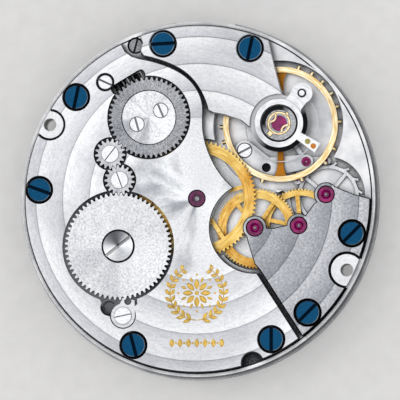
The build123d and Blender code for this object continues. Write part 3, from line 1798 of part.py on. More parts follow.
with BuildPart() as pallet_fork:
    for angle in fork_arm_angles:
        with BuildSketch(level(pallet_place, fork_bottom)):
            Circle(fork_hub_radius)
            with Locations(polar(fork_arm_reach, angle)):
                Circle(fork_arm_end)
            make_hull()
        extrude(amount=fork_top - fork_bottom)
    with BuildSketch(fork_plane):
        with BuildLine():
            Polyline(
                (0, -fork_lever_half),
                (fork_head_start, -fork_lever_half),
                (fork_head_wide, -fork_head_half),
                (fork_reach, -fork_head_half),
                (fork_reach, -notch_half),
                (notch_start, -notch_half),
                (notch_start, notch_half),
                (fork_reach, notch_half),
                (fork_reach, fork_head_half),
                (fork_head_wide, fork_head_half),
                (fork_head_start, fork_lever_half),
                (0, fork_lever_half),
                close=True,
            )
        make_face()
    extrude(amount=fork_top - fork_bottom)
    # The dart hangs below the notch
    with BuildSketch(fork_plane):
        with Locations(((dart_start + dart_block_end) / 2, 0)):
            Rectangle(dart_block_end - dart_start, 2 * dart_half)
    extrude(amount=dart_bottom - fork_bottom)
    with BuildSketch(fork_plane.offset(dart_bottom - fork_bottom)):
        with Locations(((dart_start + dart_end) / 2, 0)):
            Rectangle(dart_end - dart_start, 2 * dart_half)
    extrude(amount=dart_top - dart_bottom)
    with BuildSketch(level(pallet_place, fork_bottom)):
        Circle(pallet_arbor_radius + jewel_fit)
    extrude(amount=fork_top - fork_bottom, mode=Mode.SUBTRACT)
    with BuildSketch(Plane.XY.offset(fork_bottom)):
        add(stone_faces(jewel_fit))
    extrude(amount=fork_top - fork_bottom, mode=Mode.SUBTRACT)
pallet_fork.part.label = "pallet_fork"
export_step(pallet_fork.part, "parts/pallet_fork.step")

with BuildPart() as pallet_stones:
    with BuildSketch(Plane.XY.offset(stone_bottom)):
        add(stone_faces(0))
    extrude(amount=stone_top - stone_bottom)
pallet_stones.part.label = "pallet_stones"
export_step(pallet_stones.part, "parts/pallet_stones.step")

with BuildPart() as pallet_arbor:
    add(
        turned(
            pallet_place,
            [
                (pallet_pivot_radius, escape_floor - lower_jewel_height + pivot_start),
                (pallet_pivot_radius, escape_floor + pivot_start),
                (pallet_arbor_radius, escape_floor + pivot_start),
                (pallet_arbor_radius, fork_bottom - pallet_shoulder_height),
                (pallet_shoulder_radius, fork_bottom - pallet_shoulder_height),
                (pallet_shoulder_radius, fork_bottom),
                (pallet_arbor_radius, fork_bottom),
                (pallet_arbor_radius, pallet_bridge_bottom - jewel_fit),
                (pallet_pivot_radius, pallet_bridge_bottom - jewel_fit),
                (pallet_pivot_radius, pallet_bridge_top - air_gap),
            ],
        )
    )
pallet_arbor.part.label = "pallet_arbor"
export_step(pallet_arbor.part, "parts/pallet_arbor.step")

# Balance
arm_edges = [(0.0, 0.30), (1.9, 0.215), (2.9, 0.215), (3.3, 0.255), (3.6, 0.335), (3.85, 0.46)]
balance_hub_radius = 0.62
staff_seat_radius = 0.30
staff_flange_radius = 0.55
staff_flange_height = 0.09
staff_roller_radius = 0.12
staff_collet_radius = 0.20
staff_neck_radius = 0.15
staff_pivot_radius = 0.05
staff_lower_end = 0.18
staff_lower_shoulder = 0.36
roller_bottom = 0.80
roller_top = 0.92
roller_radius = 0.95
roller_neck_radius = 0.26
safety_bottom = 0.46
safety_top = 0.56
safety_radius = 0.42
safety_hollow_radius = 0.16
impulse_radius = 0.11
impulse_bottom = 0.60
impulse_circle_radius = 0.72
collet_radius = 0.54
collet_bottom = 1.40
collet_top = 1.58
staff_neck_end = 1.90
staff_upper_end = 2.09
impulse_place = polar(impulse_circle_radius, pallet_line + 180, balance_place)
rim_screw_height = (balance_bottom + balance_top) / 2
balance_inner_radius = balance_radius - balance_rim_width
arm_outer_end = balance_inner_radius + balance_rim_width / 2
timing_hole_depth = 0.30


def rim_plane(angle, radius):
    """The plane that faces outwards at a radius and an angle of the balance rim."""
    place = polar(radius, angle, balance_place)
    return Plane(
        (*place, rim_screw_height),
        x_dir=(-sin(radians(angle)), cos(radians(angle)), 0),
        z_dir=(cos(radians(angle)), sin(radians(angle)), 0),
    )


def arm_outline():
    """The two waisted arms of the balance seen from above, its centre at the origin."""
    edges = arm_edges + [(arm_outer_end, arm_edges[-1][1])]
    right = [(half, radius) for radius, half in edges]
    left = [(-half, radius) for half, radius in reversed(right)]
    return right + left + [(-x, -y) for x, y in right[1:] + left[:-1]]


with BuildPart() as balance_wheel:
    with BuildSketch(level(balance_place, balance_bottom)):
        Circle(balance_radius)
        Circle(balance_inner_radius, mode=Mode.SUBTRACT)
    extrude(amount=balance_top - balance_bottom)
    with BuildSketch(level(balance_place, balance_arm_bottom)):
        with BuildLine():
            Polyline(*arm_outline(), close=True)
        make_face()
        Circle(balance_hub_radius)
    extrude(amount=balance_arm_top - balance_arm_bottom)
    with BuildSketch(level(balance_place, balance_arm_bottom)):
        Circle(staff_seat_radius + jewel_fit)
    extrude(amount=balance_arm_top - balance_arm_bottom, mode=Mode.SUBTRACT)
    for angle in timing_screw_angles + [angle + 180 for angle in timing_screw_angles]:
        with BuildSketch(rim_plane(angle, balance_radius - timing_hole_depth)):
            Circle(timing_shank_radius + jewel_fit)
        extrude(amount=timing_hole_depth + overrun, mode=Mode.SUBTRACT)
balance_wheel.part.label = "balance_wheel"
export_step(balance_wheel.part, "parts/balance_wheel.step")

with BuildPart() as timing_screws:
    for angle in timing_screw_angles + [angle + 180 for angle in timing_screw_angles]:
        with BuildSketch(rim_plane(angle, balance_radius - timing_hole_depth + jewel_fit)):
            Circle(timing_shank_radius)
        extrude(amount=timing_hole_depth)
        with BuildSketch(rim_plane(angle, balance_radius + jewel_fit)):
            Circle(timing_screw_radius)
        extrude(amount=timing_screw_proud - jewel_fit)
timing_screws.part.label = "timing_screws"
export_step(timing_screws.part, "parts/timing_screws.step")

with BuildPart() as balance_staff:
    add(
        turned(
            balance_place,
            [
                (staff_pivot_radius, staff_lower_end),
                (staff_pivot_radius, staff_lower_shoulder),
                (staff_roller_radius, staff_lower_shoulder),
                (staff_roller_radius, balance_arm_bottom - staff_flange_height),
                (staff_flange_radius, balance_arm_bottom - staff_flange_height),
                (staff_flange_radius, balance_arm_bottom),
                (staff_seat_radius, balance_arm_bottom),
                (staff_seat_radius, collet_bottom),
                (staff_collet_radius, collet_bottom),
                (staff_collet_radius, collet_top),
                (staff_neck_radius, collet_top),
                (staff_neck_radius, staff_neck_end),
                (staff_pivot_radius, staff_neck_end),
                (staff_pivot_radius, staff_upper_end),
            ],
        )
    )
balance_staff.part.label = "balance_staff"
export_step(balance_staff.part, "parts/balance_staff.step")

with BuildPart() as roller:
    add(
        turned(
            balance_place,
            [
                (safety_radius, safety_bottom),
                (safety_radius, safety_top),
                (roller_neck_radius, safety_top),
                (roller_neck_radius, roller_bottom),
                (roller_radius, roller_bottom),
                (roller_radius, roller_top),
            ],
            staff_roller_radius + jewel_fit,
        )
    )
    with BuildSketch(Plane.XY.offset(safety_bottom)):
        with Locations(polar(safety_radius, pallet_line + 180, balance_place)):
            Circle(safety_hollow_radius)
    extrude(amount=safety_top - safety_bottom, mode=Mode.SUBTRACT)
    with BuildSketch(level(impulse_place, roller_bottom)):
        Circle(impulse_radius + jewel_fit)
    extrude(amount=roller_top - roller_bottom, mode=Mode.SUBTRACT)
roller.part.label = "roller"
export_step(roller.part, "parts/roller.step")

with BuildPart() as impulse_jewel:
    with BuildSketch(level(impulse_place, impulse_bottom)):
        Circle(impulse_radius)
    extrude(amount=roller_top - impulse_bottom)
impulse_jewel.part.label = "impulse_jewel"
export_step(impulse_jewel.part, "parts/impulse_jewel.step")

with BuildPart() as collet:
    with BuildSketch(level(balance_place, collet_bottom)):
        Circle(collet_radius)
        Circle(staff_collet_radius + jewel_fit, mode=Mode.SUBTRACT)
    extrude(amount=collet_top - collet_bottom)
collet.part.label = "collet"
export_step(collet.part, "parts/collet.step")

# Hairspring: an arc round the balance axis, then half turns whose centres step
# from side to side, each half turn drawn by its own pull-in
spring_line = -77.4
spring_start = 49.5
outer_pull = 0.39
outer_half_turns = 2
inner_half_turns = 6
inner_pull = (
    spring_radius - outer_half_turns * outer_pull - spring_inner_radius
) / inner_half_turns
spring_pulls = [outer_pull] * outer_half_turns + [inner_pull] * inner_half_turns


def spring_arcs():
    """Centre, radius, start angle and sweep of every arc from the stud to the collet."""
    arcs = [(centre_place, spring_radius, spring_start, spring_line - spring_start)]
    radius = spring_radius
    for turn, pull in enumerate(spring_pulls):
        side = spring_line + 180 * (turn % 2)
        arcs.append((polar(pull / 2, side), radius - pull / 2, side, -180))
        radius -= pull
    return arcs


def strip_side(offset):
    """The arcs of one side of the strip, as start, middle and end points."""
    sides = []
    for place, radius, start, sweep in spring_arcs():
        sides.append(
            [polar(radius + offset, start + sweep * part / 2, place) for part in range(3)]
        )
    return sides


with BuildPart() as hairspring:
    with BuildSketch(level(balance_place, spring_bottom)):
        with BuildLine():
            outside = strip_side(spring_strip / 2)
            inside = strip_side(-spring_strip / 2)
            for points in outside + inside:
                ThreePointArc(*points)
            Line(outside[0][0], inside[0][0])
            Line(outside[-1][-1], inside[-1][-1])
        make_face()
    extrude(amount=spring_height)
hairspring.part.label = "hairspring"
export_step(hairspring.part, "parts/hairspring.step")

spring_turn = 0
spring_points = []
arc_steps = 36
for place, radius, start, sweep in spring_arcs():
    for step in range(arc_steps):
        angle = start + sweep * step / arc_steps
        spring_points.append((spring_turn, polar(radius, angle, place)))
        spring_turn += abs(sweep) / arc_steps
least_gap = min(
    distance(first, second)
    for turn, first in spring_points
    for other, second in spring_points
    if other - turn > 180
)
print("hairspring: least gap between turns", round(least_gap - spring_strip, 3), "mm")

# Stud, its carrier, the index and the curb pins
stud_radius = 0.14
stud_head_radius = 0.32
stud_seat = 2.08
stud_top = 2.38
carrier_bottom = 2.15
carrier_top = 2.29
carrier_arm_width = 1.36
carrier_lobe_radius = 0.78
carrier_neck_fillet = 0.40
index_bottom = 2.30
index_top = 2.42
index_tail_share = [(0.850, -0.366), (1.712, -0.853), (1.482, -1.231), (0.665, -0.625)]
curb_radii = [2.54, 3.08]
curb_angles = [-32.8, -34.0]
curb_radius = 0.10
curb_head_radius = 0.20
curb_top = 2.47
stud_place = polar(spring_radius, stud_angle, balance_place)

with BuildPart() as stud:
    add(
        turned(
            stud_place,
            [
                (stud_radius, spring_bottom),
                (stud_radius, stud_seat),
                (stud_head_radius, stud_seat),
                (stud_head_radius, stud_top),
            ],
        )
    )
stud.part.label = "stud"
export_step(stud.part, "parts/stud.step")

with BuildPart() as stud_carrier:
    with BuildSketch(level(balance_place, carrier_bottom)) as carrier_sketch:
        Circle(regulator_outer)
        with Locations(Location((*polar(spring_radius / 2, stud_angle), 0), (0, 0, stud_angle))):
            Rectangle(spring_radius, carrier_arm_width)
        necks = []
        for corner in carrier_sketch.vertices():
            if abs(hypot(corner.X, corner.Y) - regulator_outer) < running_gap:
                necks.append(corner)
        fillet(necks, carrier_neck_fillet)
        with Locations(polar(spring_radius, stud_angle)):
            Circle(carrier_lobe_radius)
        Circle(regulator_inner, mode=Mode.SUBTRACT)
        with Locations(polar(spring_radius, stud_angle)):
            Circle(stud_head_radius + jewel_fit, mode=Mode.SUBTRACT)
    extrude(amount=carrier_top - carrier_bottom)
stud_carrier.part.label = "stud_carrier"
export_step(stud_carrier.part, "parts/stud_carrier.step")

with BuildPart() as regulator_index:
    with BuildSketch(level(balance_place, index_bottom)):
        Circle(regulator_outer)
        with BuildLine():
            Polyline(*scaled(index_tail_share, regulator_outer), close=True)
        make_face()
        Circle(regulator_inner, mode=Mode.SUBTRACT)
        with Locations(
            *[polar(radius, angle) for radius, angle in zip(curb_radii, curb_angles)]
        ):
            Circle(curb_radius + jewel_fit, mode=Mode.SUBTRACT)
    extrude(amount=index_top - index_bottom)
regulator_index.part.label = "regulator_index"
export_step(regulator_index.part, "parts/regulator_index.step")

with BuildPart() as curb_pins:
    for radius, angle in zip(curb_radii, curb_angles):
        add(
            turned(
                polar(radius, angle, balance_place),
                [
                    (curb_radius, spring_bottom),
                    (curb_radius, index_top),
                    (curb_head_radius, index_top),
                    (curb_head_radius, curb_top),
                ],
            )
        )
curb_pins.part.label = "curb_pins"
export_step(curb_pins.part, "parts/curb_pins.step")

# Shock settings of the balance: block, hole jewel, cap jewel and sprung ring
upper_block_bottom = 1.74
upper_block_top = 2.38
upper_bore_radius = 0.25
hole_jewel_radius = 0.50
hole_jewel_bottom = 1.93
hole_jewel_top = 2.08
cap_jewel_radius = 0.58
cap_jewel_bottom = 2.10
cap_jewel_top = 2.28
shock_ring_outer = 0.86
shock_ring_inner = 0.70
shock_ring_bottom = 2.30
shock_ring_top = 2.36
shock_ring_line = -131
shock_foot_width = 0.36
shock_foot_end = 1.16
shock_lug_width = 0.22
shock_lug_end = 1.00
shock_lobe_radius = 0.20
shock_lobe_place = 0.64
lower_tongue_width = 0.20
lower_tongue_end = 0.45
balance_pivot_hole = 0.06
lower_ring_outer = 0.80
lower_ring_inner = 0.66
lower_ring_top = 0.05
lower_cap_top = 0.17
lower_hole_top = 0.30
block_lip = 0.04

def shock_spring_face(growth):
    """The upper shock spring seen from above: ring, foot, lug and two inner lobes, all grown."""
    with BuildSketch() as face:
        Circle(shock_ring_outer + growth)
        Circle(shock_ring_inner - growth, mode=Mode.SUBTRACT)
        for angle, width, end in (
            (shock_ring_line, shock_foot_width, shock_foot_end),
            (shock_ring_line + 180, shock_lug_width, shock_lug_end),
        ):
            middle = polar((shock_ring_inner + end) / 2, angle)
            with Locations(Location((*middle, 0), (0, 0, angle))):
                Rectangle(end - shock_ring_inner + 2 * growth, width + 2 * growth)
        for angle in (shock_ring_line - 90, shock_ring_line + 90):
            with Locations(polar(shock_lobe_place, angle)):
                Circle(shock_lobe_radius + growth)
    return face.sketch


with BuildPart() as shock_blocks:
    add(
        turned(
            balance_place,
            [
                (shock_block_radius, upper_block_bottom),
                (shock_block_radius, upper_block_top - block_lip),
                (shock_block_radius - block_lip, upper_block_top),
            ],
            upper_bore_radius,
        )
    )
    for bottom, top, radius in (
        (hole_jewel_bottom, upper_block_top, hole_jewel_radius + jewel_fit),
        (cap_jewel_bottom - jewel_fit, upper_block_top, cap_jewel_radius + jewel_fit),
        (shock_ring_bottom, upper_block_top, shock_ring_outer + block_lip),
    ):
        with BuildSketch(level(balance_place, bottom)):
            Circle(radius)
        extrude(amount=top - bottom, mode=Mode.SUBTRACT)
    with BuildSketch(level(balance_place, shock_ring_bottom)):
        add(shock_spring_face(block_lip))
    extrude(amount=upper_block_top - shock_ring_bottom, mode=Mode.SUBTRACT)
    with BuildSketch(level(balance_place, 0)):
        Circle(lower_shock_radius - jewel_fit)
        Circle(upper_bore_radius, mode=Mode.SUBTRACT)
    extrude(amount=escape_floor)
    for top, radius in (
        (lower_hole_top, hole_jewel_radius + jewel_fit),
        (lower_cap_top + jewel_fit, cap_jewel_radius + jewel_fit),
        (lower_ring_top, lower_ring_outer + block_lip),
    ):
        with BuildSketch(level(balance_place, 0)):
            Circle(radius)
        extrude(amount=top, mode=Mode.SUBTRACT)
shock_blocks.part.label = "shock_blocks"
export_step(shock_blocks.part, "parts/shock_blocks.step")

with BuildPart() as balance_jewels:
    for bottom, top, radius, hole in (
        (hole_jewel_bottom, hole_jewel_top, hole_jewel_radius, balance_pivot_hole),
        (cap_jewel_bottom, cap_jewel_top, cap_jewel_radius, 0),
        (lower_cap_top + jewel_fit, lower_hole_top, hole_jewel_radius, balance_pivot_hole),
        (lower_ring_top, lower_cap_top, cap_jewel_radius, 0),
    ):
        with BuildSketch(level(balance_place, bottom)):
            Circle(radius)
            if hole:
                Circle(hole, mode=Mode.SUBTRACT)
        extrude(amount=top - bottom)
balance_jewels.part.label = "balance_jewels"
export_step(balance_jewels.part, "parts/balance_jewels.step")

with BuildPart() as shock_springs:
    with BuildSketch(level(balance_place, shock_ring_bottom)):
        add(shock_spring_face(0))
    extrude(amount=shock_ring_top - shock_ring_bottom)
    with BuildSketch(level(balance_place, running_gap / 2)):
        Circle(lower_ring_outer)
        Circle(lower_ring_inner, mode=Mode.SUBTRACT)
        with PolarLocations((lower_ring_inner + lower_tongue_end) / 2, 2, shock_ring_line + 90):
            Rectangle(lower_ring_inner - lower_tongue_end + running_gap, lower_tongue_width)
    extrude(amount=lower_ring_top - running_gap / 2)
shock_springs.part.label = "shock_springs"
export_step(shock_springs.part, "parts/shock_springs.step")
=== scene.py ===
# %% [markdown]
# A hand-wound watch movement, seen from its bridge side.
# The shapes come from a imported CAD model, which is loaded first and stays as it is.
# This lesson gives each metal its finish, with some light and shade painted into the colours, and adds the
# pieces that are finer than the solids.

# %% Load the frame
import math

import bmesh
import bpy
from mathutils import Matrix, Vector


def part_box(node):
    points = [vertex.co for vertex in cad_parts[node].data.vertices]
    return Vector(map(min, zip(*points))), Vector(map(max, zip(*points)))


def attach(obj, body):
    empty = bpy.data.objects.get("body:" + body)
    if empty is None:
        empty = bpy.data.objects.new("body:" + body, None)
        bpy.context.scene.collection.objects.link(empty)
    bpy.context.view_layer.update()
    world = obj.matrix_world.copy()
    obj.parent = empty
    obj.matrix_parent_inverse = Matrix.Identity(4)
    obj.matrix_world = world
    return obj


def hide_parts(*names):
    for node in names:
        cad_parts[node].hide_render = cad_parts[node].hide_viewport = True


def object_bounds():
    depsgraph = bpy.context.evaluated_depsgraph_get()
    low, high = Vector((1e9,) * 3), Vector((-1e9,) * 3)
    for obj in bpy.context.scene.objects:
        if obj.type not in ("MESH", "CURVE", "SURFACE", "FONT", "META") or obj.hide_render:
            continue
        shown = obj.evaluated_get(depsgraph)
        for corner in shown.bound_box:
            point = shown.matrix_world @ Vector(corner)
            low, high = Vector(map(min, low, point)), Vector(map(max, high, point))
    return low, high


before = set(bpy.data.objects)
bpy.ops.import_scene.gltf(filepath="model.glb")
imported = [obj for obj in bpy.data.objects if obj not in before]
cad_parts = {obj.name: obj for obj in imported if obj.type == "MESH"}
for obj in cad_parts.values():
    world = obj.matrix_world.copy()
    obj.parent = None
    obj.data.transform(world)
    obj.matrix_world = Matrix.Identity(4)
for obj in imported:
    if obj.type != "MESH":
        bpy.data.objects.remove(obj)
cad_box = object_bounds()
MM = 0.001
print("CAD nodes:", len(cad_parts))
print("CAD box:", [tuple(round(v / MM, 2) for v in corner) for corner in cad_box])

# %% [markdown]
# A watchmaker's photograph is taken from far away with a long lens, so the round movement stays round.
# The camera looks almost straight down. It stands a little to the right and a little below the middle,
# which is why a sliver of the right-hand side wall shows.

# %% Camera
def add_object(name, data):
    """Puts a new object of some data into the scene."""
    made = bpy.data.objects.new(name, data)
    bpy.context.scene.collection.objects.link(made)
    return made


VIEW_DIRECTION = Vector((0.12, -0.066, 1.0)).normalized()
VIEW_TARGET = Vector((0.24, -0.11, 2.35)) * MM
VIEW_DISTANCE = 0.40
FRAME_WIDTH = 29.61 * MM
SENSOR_WIDTH = 36.0
NEAREST = 0.01
FARTHEST = 20.0

camera = add_object("camera", bpy.data.cameras.new("camera"))
camera.data.sensor_width = SENSOR_WIDTH
camera.data.lens = SENSOR_WIDTH * VIEW_DISTANCE / FRAME_WIDTH
camera.data.clip_start = NEAREST
camera.data.clip_end = FARTHEST
camera.location = VIEW_TARGET + VIEW_DIRECTION * VIEW_DISTANCE
picture_right = Vector((0.0, 1.0, 0.0)).cross(VIEW_DIRECTION).normalized()
picture_up = VIEW_DIRECTION.cross(picture_right)
picture_axes = Matrix((picture_right, picture_up, VIEW_DIRECTION)).transposed()
camera.rotation_mode = "QUATERNION"
camera.rotation_quaternion = picture_axes.to_quaternion()
bpy.context.scene.camera = camera
bpy.context.scene.view_settings.view_transform = "Standard"
print("lens:", round(camera.data.lens), "mm")

# %% [markdown]
# Polished metal shows what is around it, so the light is the larger half of its look.
# One long soft panel hangs overhead and runs from top to bottom of the picture.
# Round brushing then lights up above and below each centre and falls off to the sides.
# Each panel has a name, a place and a size in metres, and how bright its face is.

# %% Soft light
PANELS = [
    ("overhead panel", (-0.06, 0.03, 0.60), (0.26, 1.00), 0.88),
    ("left panel", (-0.70, 0.10, 0.35), (0.30, 0.60), 0.75),
    ("right panel", (0.65, -0.30, 0.30), (0.20, 0.50), 0.45),
]
STUDIO_GREY = (0.56, 0.56, 0.57, 1.0)

for name, place, size, radiance in PANELS:
    light = bpy.data.lights.new(name, "AREA")
    light.shape = "RECTANGLE"
    light.size, light.size_y = size
    light.energy = radiance * math.pi * size[0] * size[1]
    panel = add_object(name, light)
    panel.location = place
    panel.rotation_mode = "QUATERNION"
    panel.rotation_quaternion = Vector(place).to_track_quat("Z", "Y")
    panel.visible_camera = False
    print(name, "energy:", round(light.energy, 2), "W")

world = bpy.data.worlds.new("studio")
world.use_nodes = True
world.node_tree.nodes["Background"].inputs["Color"].default_value = STUDIO_GREY
world.node_tree.nodes["Background"].inputs["Strength"].default_value = 1.0
bpy.context.scene.world = world

# %% [markdown]
# Colours are written as the sRGB hex values that a colour picker shows.
# Shaders count in linear light, so one function turns the one into the other.

# %% Colour
def linear(hex_code):
    """An sRGB hex colour as the linear RGBA that a shader takes."""
    channels = [int(hex_code[i:i + 2], 16) / 255 for i in (0, 2, 4)]
    return [c / 12.92 if c <= 0.04045 else ((c + 0.055) / 1.055) ** 2.4 for c in channels] + [1.0]


print("middle grey 808080 in linear light:", [round(c, 3) for c in linear("808080")])

# %% [markdown]
# A material is a small graph of nodes. One helper adds any node, sets it up and links it, so that
# the cells below read as a list of what the surface is. A tuple fills the node's sockets in order,
# and a dictionary fills them by name. Some nodes hold sockets for several kinds of value and use
# only those for one, so the others are passed over. A colour socket takes a hex colour.

# %% Node helper
COLOURS = {"data_type": "RGBA"}
PRODUCT = {"data_type": "RGBA", "blend_type": "MULTIPLY"}


def add_node(tree, kind, inputs=(), stops=(), output=None, **settings):
    """Adds a node and returns the named output, or the first. Stops are those of a colour ramp."""
    made = tree.nodes.new(kind if "Node" in kind else "ShaderNode" + kind)
    for name, value in settings.items():
        setattr(made, name, value)
    sockets = [socket for socket in made.inputs if socket.enabled]
    if isinstance(inputs, dict):
        sockets = [next(socket for socket in sockets if socket.name == name) for name in inputs]
        inputs = inputs.values()
    for socket, value in zip(sockets, inputs):
        if isinstance(value, bpy.types.NodeSocket):
            tree.links.new(value, socket)
        else:
            socket.default_value = linear(value) if socket.type == "RGBA" else value
    if stops:
        elements = made.color_ramp.elements
        while len(elements) < len(stops):
            elements.new(0.5)
        for element, (position, hex_code) in zip(elements, stops):
            element.position = position
            element.color = linear(hex_code)
    outputs = [socket for socket in made.outputs if socket.enabled and output in (None, socket.name)]
    return outputs[0] if outputs else None


def begin_material(name, **values):
    """An empty material: its tree and its shader, with the given sockets set."""
    material = bpy.data.materials.new(name)
    material.use_nodes = True
    shader = material.node_tree.nodes["Principled BSDF"]
    for socket, value in values.items():
        shader.inputs[socket.replace("_", " ")].default_value = value
    return material, material.node_tree, shader


def connect(tree, shader, **values):
    """Links outputs to the shader's sockets of the given names."""
    for socket, value in values.items():
        tree.links.new(value, shader.inputs[socket.replace("_", " ")])


# %% [markdown]
# Nearly every part was finished on a wheel or a lathe, so its lines run in rings or like rays.
# A helper turns Object coordinates into millimetres about a centre, and gives the radius and a direction.
# The direction is a unit vector rather than an angle, because an angle would leave a seam.
# Real brush lines are far finer and would not show at this size, so they are drawn coarser.

# %% Ring coordinates
def ring_coordinates(tree, centre=(0.0, 0.0)):
    """The flat vector from a centre in millimetres, its length, and its direction."""
    place = add_node(tree, "TexCoord", output="Object")
    flat = add_node(tree, "Mapping", {
        "Vector": place,
        "Location": (-centre[0], -centre[1], 0.0),
        "Scale": (1 / MM, 1 / MM, 0.0),
    })
    radius = add_node(tree, "VectorMath", (flat,), operation="LENGTH")
    direction = add_node(tree, "VectorMath", (flat,), operation="NORMALIZE")
    return flat, radius, direction


def brush_lines(tree, radius, direction, per_mm, round_count):
    """Noise drawn out into brush lines: fine across the rings and long round them, or the reverse."""
    stretched = add_node(tree, "VectorMath", (direction, (round_count,) * 3), operation="MULTIPLY")
    around = add_node(tree, "SeparateXYZ", (stretched,)).node.outputs
    depth = add_node(tree, "Math", (radius, per_mm), operation="MULTIPLY")
    vector = add_node(tree, "CombineXYZ", (around["X"], around["Y"], depth))
    return add_node(tree, "TexNoise", {"Vector": vector, "Scale": 1.0, "Detail": 4.0})


def height_share(tree, below, above):
    """0 under one height and 1 over the other, both in millimetres."""
    place = add_node(tree, "TexCoord", output="Object")
    height = add_node(tree, "SeparateXYZ", (place,), output="Z")
    return add_node(tree, "MapRange", (height, below * MM, above * MM))


def across_tangent(tree, direction, rays):
    """The direction in which the highlight is drawn out: across the brush lines."""
    turned = direction
    if rays:
        turned = add_node(tree, "VectorMath", (direction, (0.0, 0.0, 1.0)), operation="CROSS_PRODUCT")
    return add_node(tree, "VectorTransform", {"Vector": turned}, convert_from="OBJECT", convert_to="WORLD")


def facing(tree, direction, towards, low, high):
    """0 to 1 as a direction turns towards another. low and high are cosines."""
    cosine = add_node(tree, "VectorMath", (direction, towards), operation="DOT_PRODUCT")
    return add_node(tree, "MapRange", (cosine, low, high))


# %% [markdown]
# Light hardly reaches the narrow gaps between the pieces, so shade is painted into them.
# The Ambient Occlusion node measures how much of the space over a point is closed in, so a surface
# is painted dark where it lies in a gap. It works from the shapes, and not from where the camera is.

# %% Painted shade in gaps
GAP_REACH = 0.8
GAP_SHADE_COLOUR = "17181B"
GAP_SAMPLES = 6


def paint_gap_shade(tree, colour, closed=0.25, open_share=0.75, gap=GAP_SHADE_COLOUR):
    """Paints shade: mixes a colour towards the dark gap colour where the space over the surface is closed in.
    """
    occlusion = add_node(tree, "AmbientOcclusion", {"Distance": GAP_REACH * MM}, output="AO",
                         samples=GAP_SAMPLES)
    share = add_node(tree, "MapRange", (occlusion, closed, open_share))
    return add_node(tree, "Mix", (share, gap, colour), **COLOURS)


# %% [markdown]
# The floor is a sheet of pale matt card, far larger than the movement, with a faint paper tooth.
# It glows a little, like a card on a light table, so that it stays pale beside the bright metal.

# %% Floor
FLOOR_HALF = 1.5
FLOOR_HEIGHT = cad_box[0].z - 0.02 * MM
FLOOR_GLOW = 0.08
CARD_TONES = [(0.0, "EDECEA"), (1.0, "FBFAF8")]

floor_mesh = bpy.data.meshes.new("floor")
corners = [(-1, -1), (1, -1), (1, 1), (-1, 1)]
floor_places = [(x * FLOOR_HALF, y * FLOOR_HALF, FLOOR_HEIGHT) for x, y in corners]
floor_mesh.from_pydata(floor_places, [], [(0, 1, 2, 3)])
floor = add_object("floor", floor_mesh)
card, tree, shader = begin_material("matt card", Roughness=0.85, Emission_Strength=FLOOR_GLOW)
place = add_node(tree, "TexCoord", output="Object")
tooth = add_node(tree, "TexNoise", {"Vector": place, "Scale": 900.0, "Detail": 3.0})
tone = add_node(tree, "ValToRGB", (tooth,), CARD_TONES)
connect(tree, shader, Base_Color=tone, Emission_Color=tone)
floor_mesh.materials.append(card)
print("floor at", round(FLOOR_HEIGHT / MM, 2), "mm, tones", CARD_TONES)

# %% [markdown]
# Brushed metal is the workhorse here. Light and dark hex values are the two ends of the brushing.
# Broad light and dark sectors, laid out by noise, are a painted sheen, like the reflections on round
# brushing.
# The slots, recesses and holes below a given height are rougher, because no polishing tool reaches them,
# and are painted darker, as the shade that falls in them.

# %% Brushed metal
CENTRE = (0.0, 0.0)
BRUSH_RELIEF = 0.003
HEIGHT_BLUR = 0.01
CUT_ROUGHNESS = 0.55


def brushed_metal(name, light, dark, centre, per_mm, round_count, roughness, anisotropic,
                  rays=False, shade_height=None, shade_colour=None, sector="E4E5E7"):
    """A metal brushed in rings about a centre, or like rays, with a painted sheen, and painted shade below a
    height.
    """
    material, tree, shader = begin_material(name, Metallic=1.0, Anisotropic=anisotropic)
    _, radius, direction = ring_coordinates(tree, centre)
    lines = brush_lines(tree, radius, direction, per_mm, round_count)
    tone = add_node(tree, "ValToRGB", (lines,), [(0.3, dark), (0.7, light)])
    broad = brush_lines(tree, radius, direction, 0.15, 1.4)
    # Broad sectors of painted sheen.
    painted_sheen = add_node(tree, "ValToRGB", (broad,), [(0.36, sector), (0.56, "FFFFFF")])
    colour = add_node(tree, "Mix", (1.0, tone, painted_sheen), **PRODUCT)
    rough = add_node(tree, "MapRange", {"Value": lines, "To Min": roughness[0], "To Max": roughness[1]})
    # Below the given height the colour is painted darker, as shade, and the surface is rougher.
    if shade_height is not None:
        share = height_share(tree, shade_height - HEIGHT_BLUR, shade_height + HEIGHT_BLUR)
        colour = add_node(tree, "Mix", (share, shade_colour, colour), **COLOURS)
        rough = add_node(tree, "Mix", (share, CUT_ROUGHNESS, rough))
    bump = add_node(tree, "Bump", {"Height": lines, "Distance": BRUSH_RELIEF * MM, "Strength": 1.0})
    # Shade is painted into the gaps.
    connect(tree, shader, Base_Color=paint_gap_shade(tree, colour), Roughness=rough, Normal=bump,
            Tangent=across_tangent(tree, direction, rays))
    return material


# %% [markdown]
# Some pieces change colour with the distance from their middle, such as a stud with a dark collar.
# A coat mixes one more colour into a finished material, and a tint is a coat that multiplies it
# by a ramp along that distance.

# %% Coat and tint
TINT_MARGIN = 1.25


def coat(material, share, colour, **settings):
    """Mixes another colour over the colour of a finished material."""
    tree = material.node_tree
    base = tree.nodes["Principled BSDF"].inputs["Base Color"]
    mixed = add_node(tree, "Mix", (share, base.links[0].from_socket, colour), **settings)
    tree.links.new(mixed, base)


def tint(material, centre, stops):
    """Multiplies a material's colour by hex tones given at distances in millimetres."""
    reach = stops[-1][0] * TINT_MARGIN
    _, radius, _ = ring_coordinates(material.node_tree, centre)
    share = add_node(material.node_tree, "Math", (radius, reach), operation="DIVIDE")
    places = [(distance / reach, hex_code) for distance, hex_code in stops]
    coat(material, 1.0, add_node(material.node_tree, "ValToRGB", (share,), places), **PRODUCT)


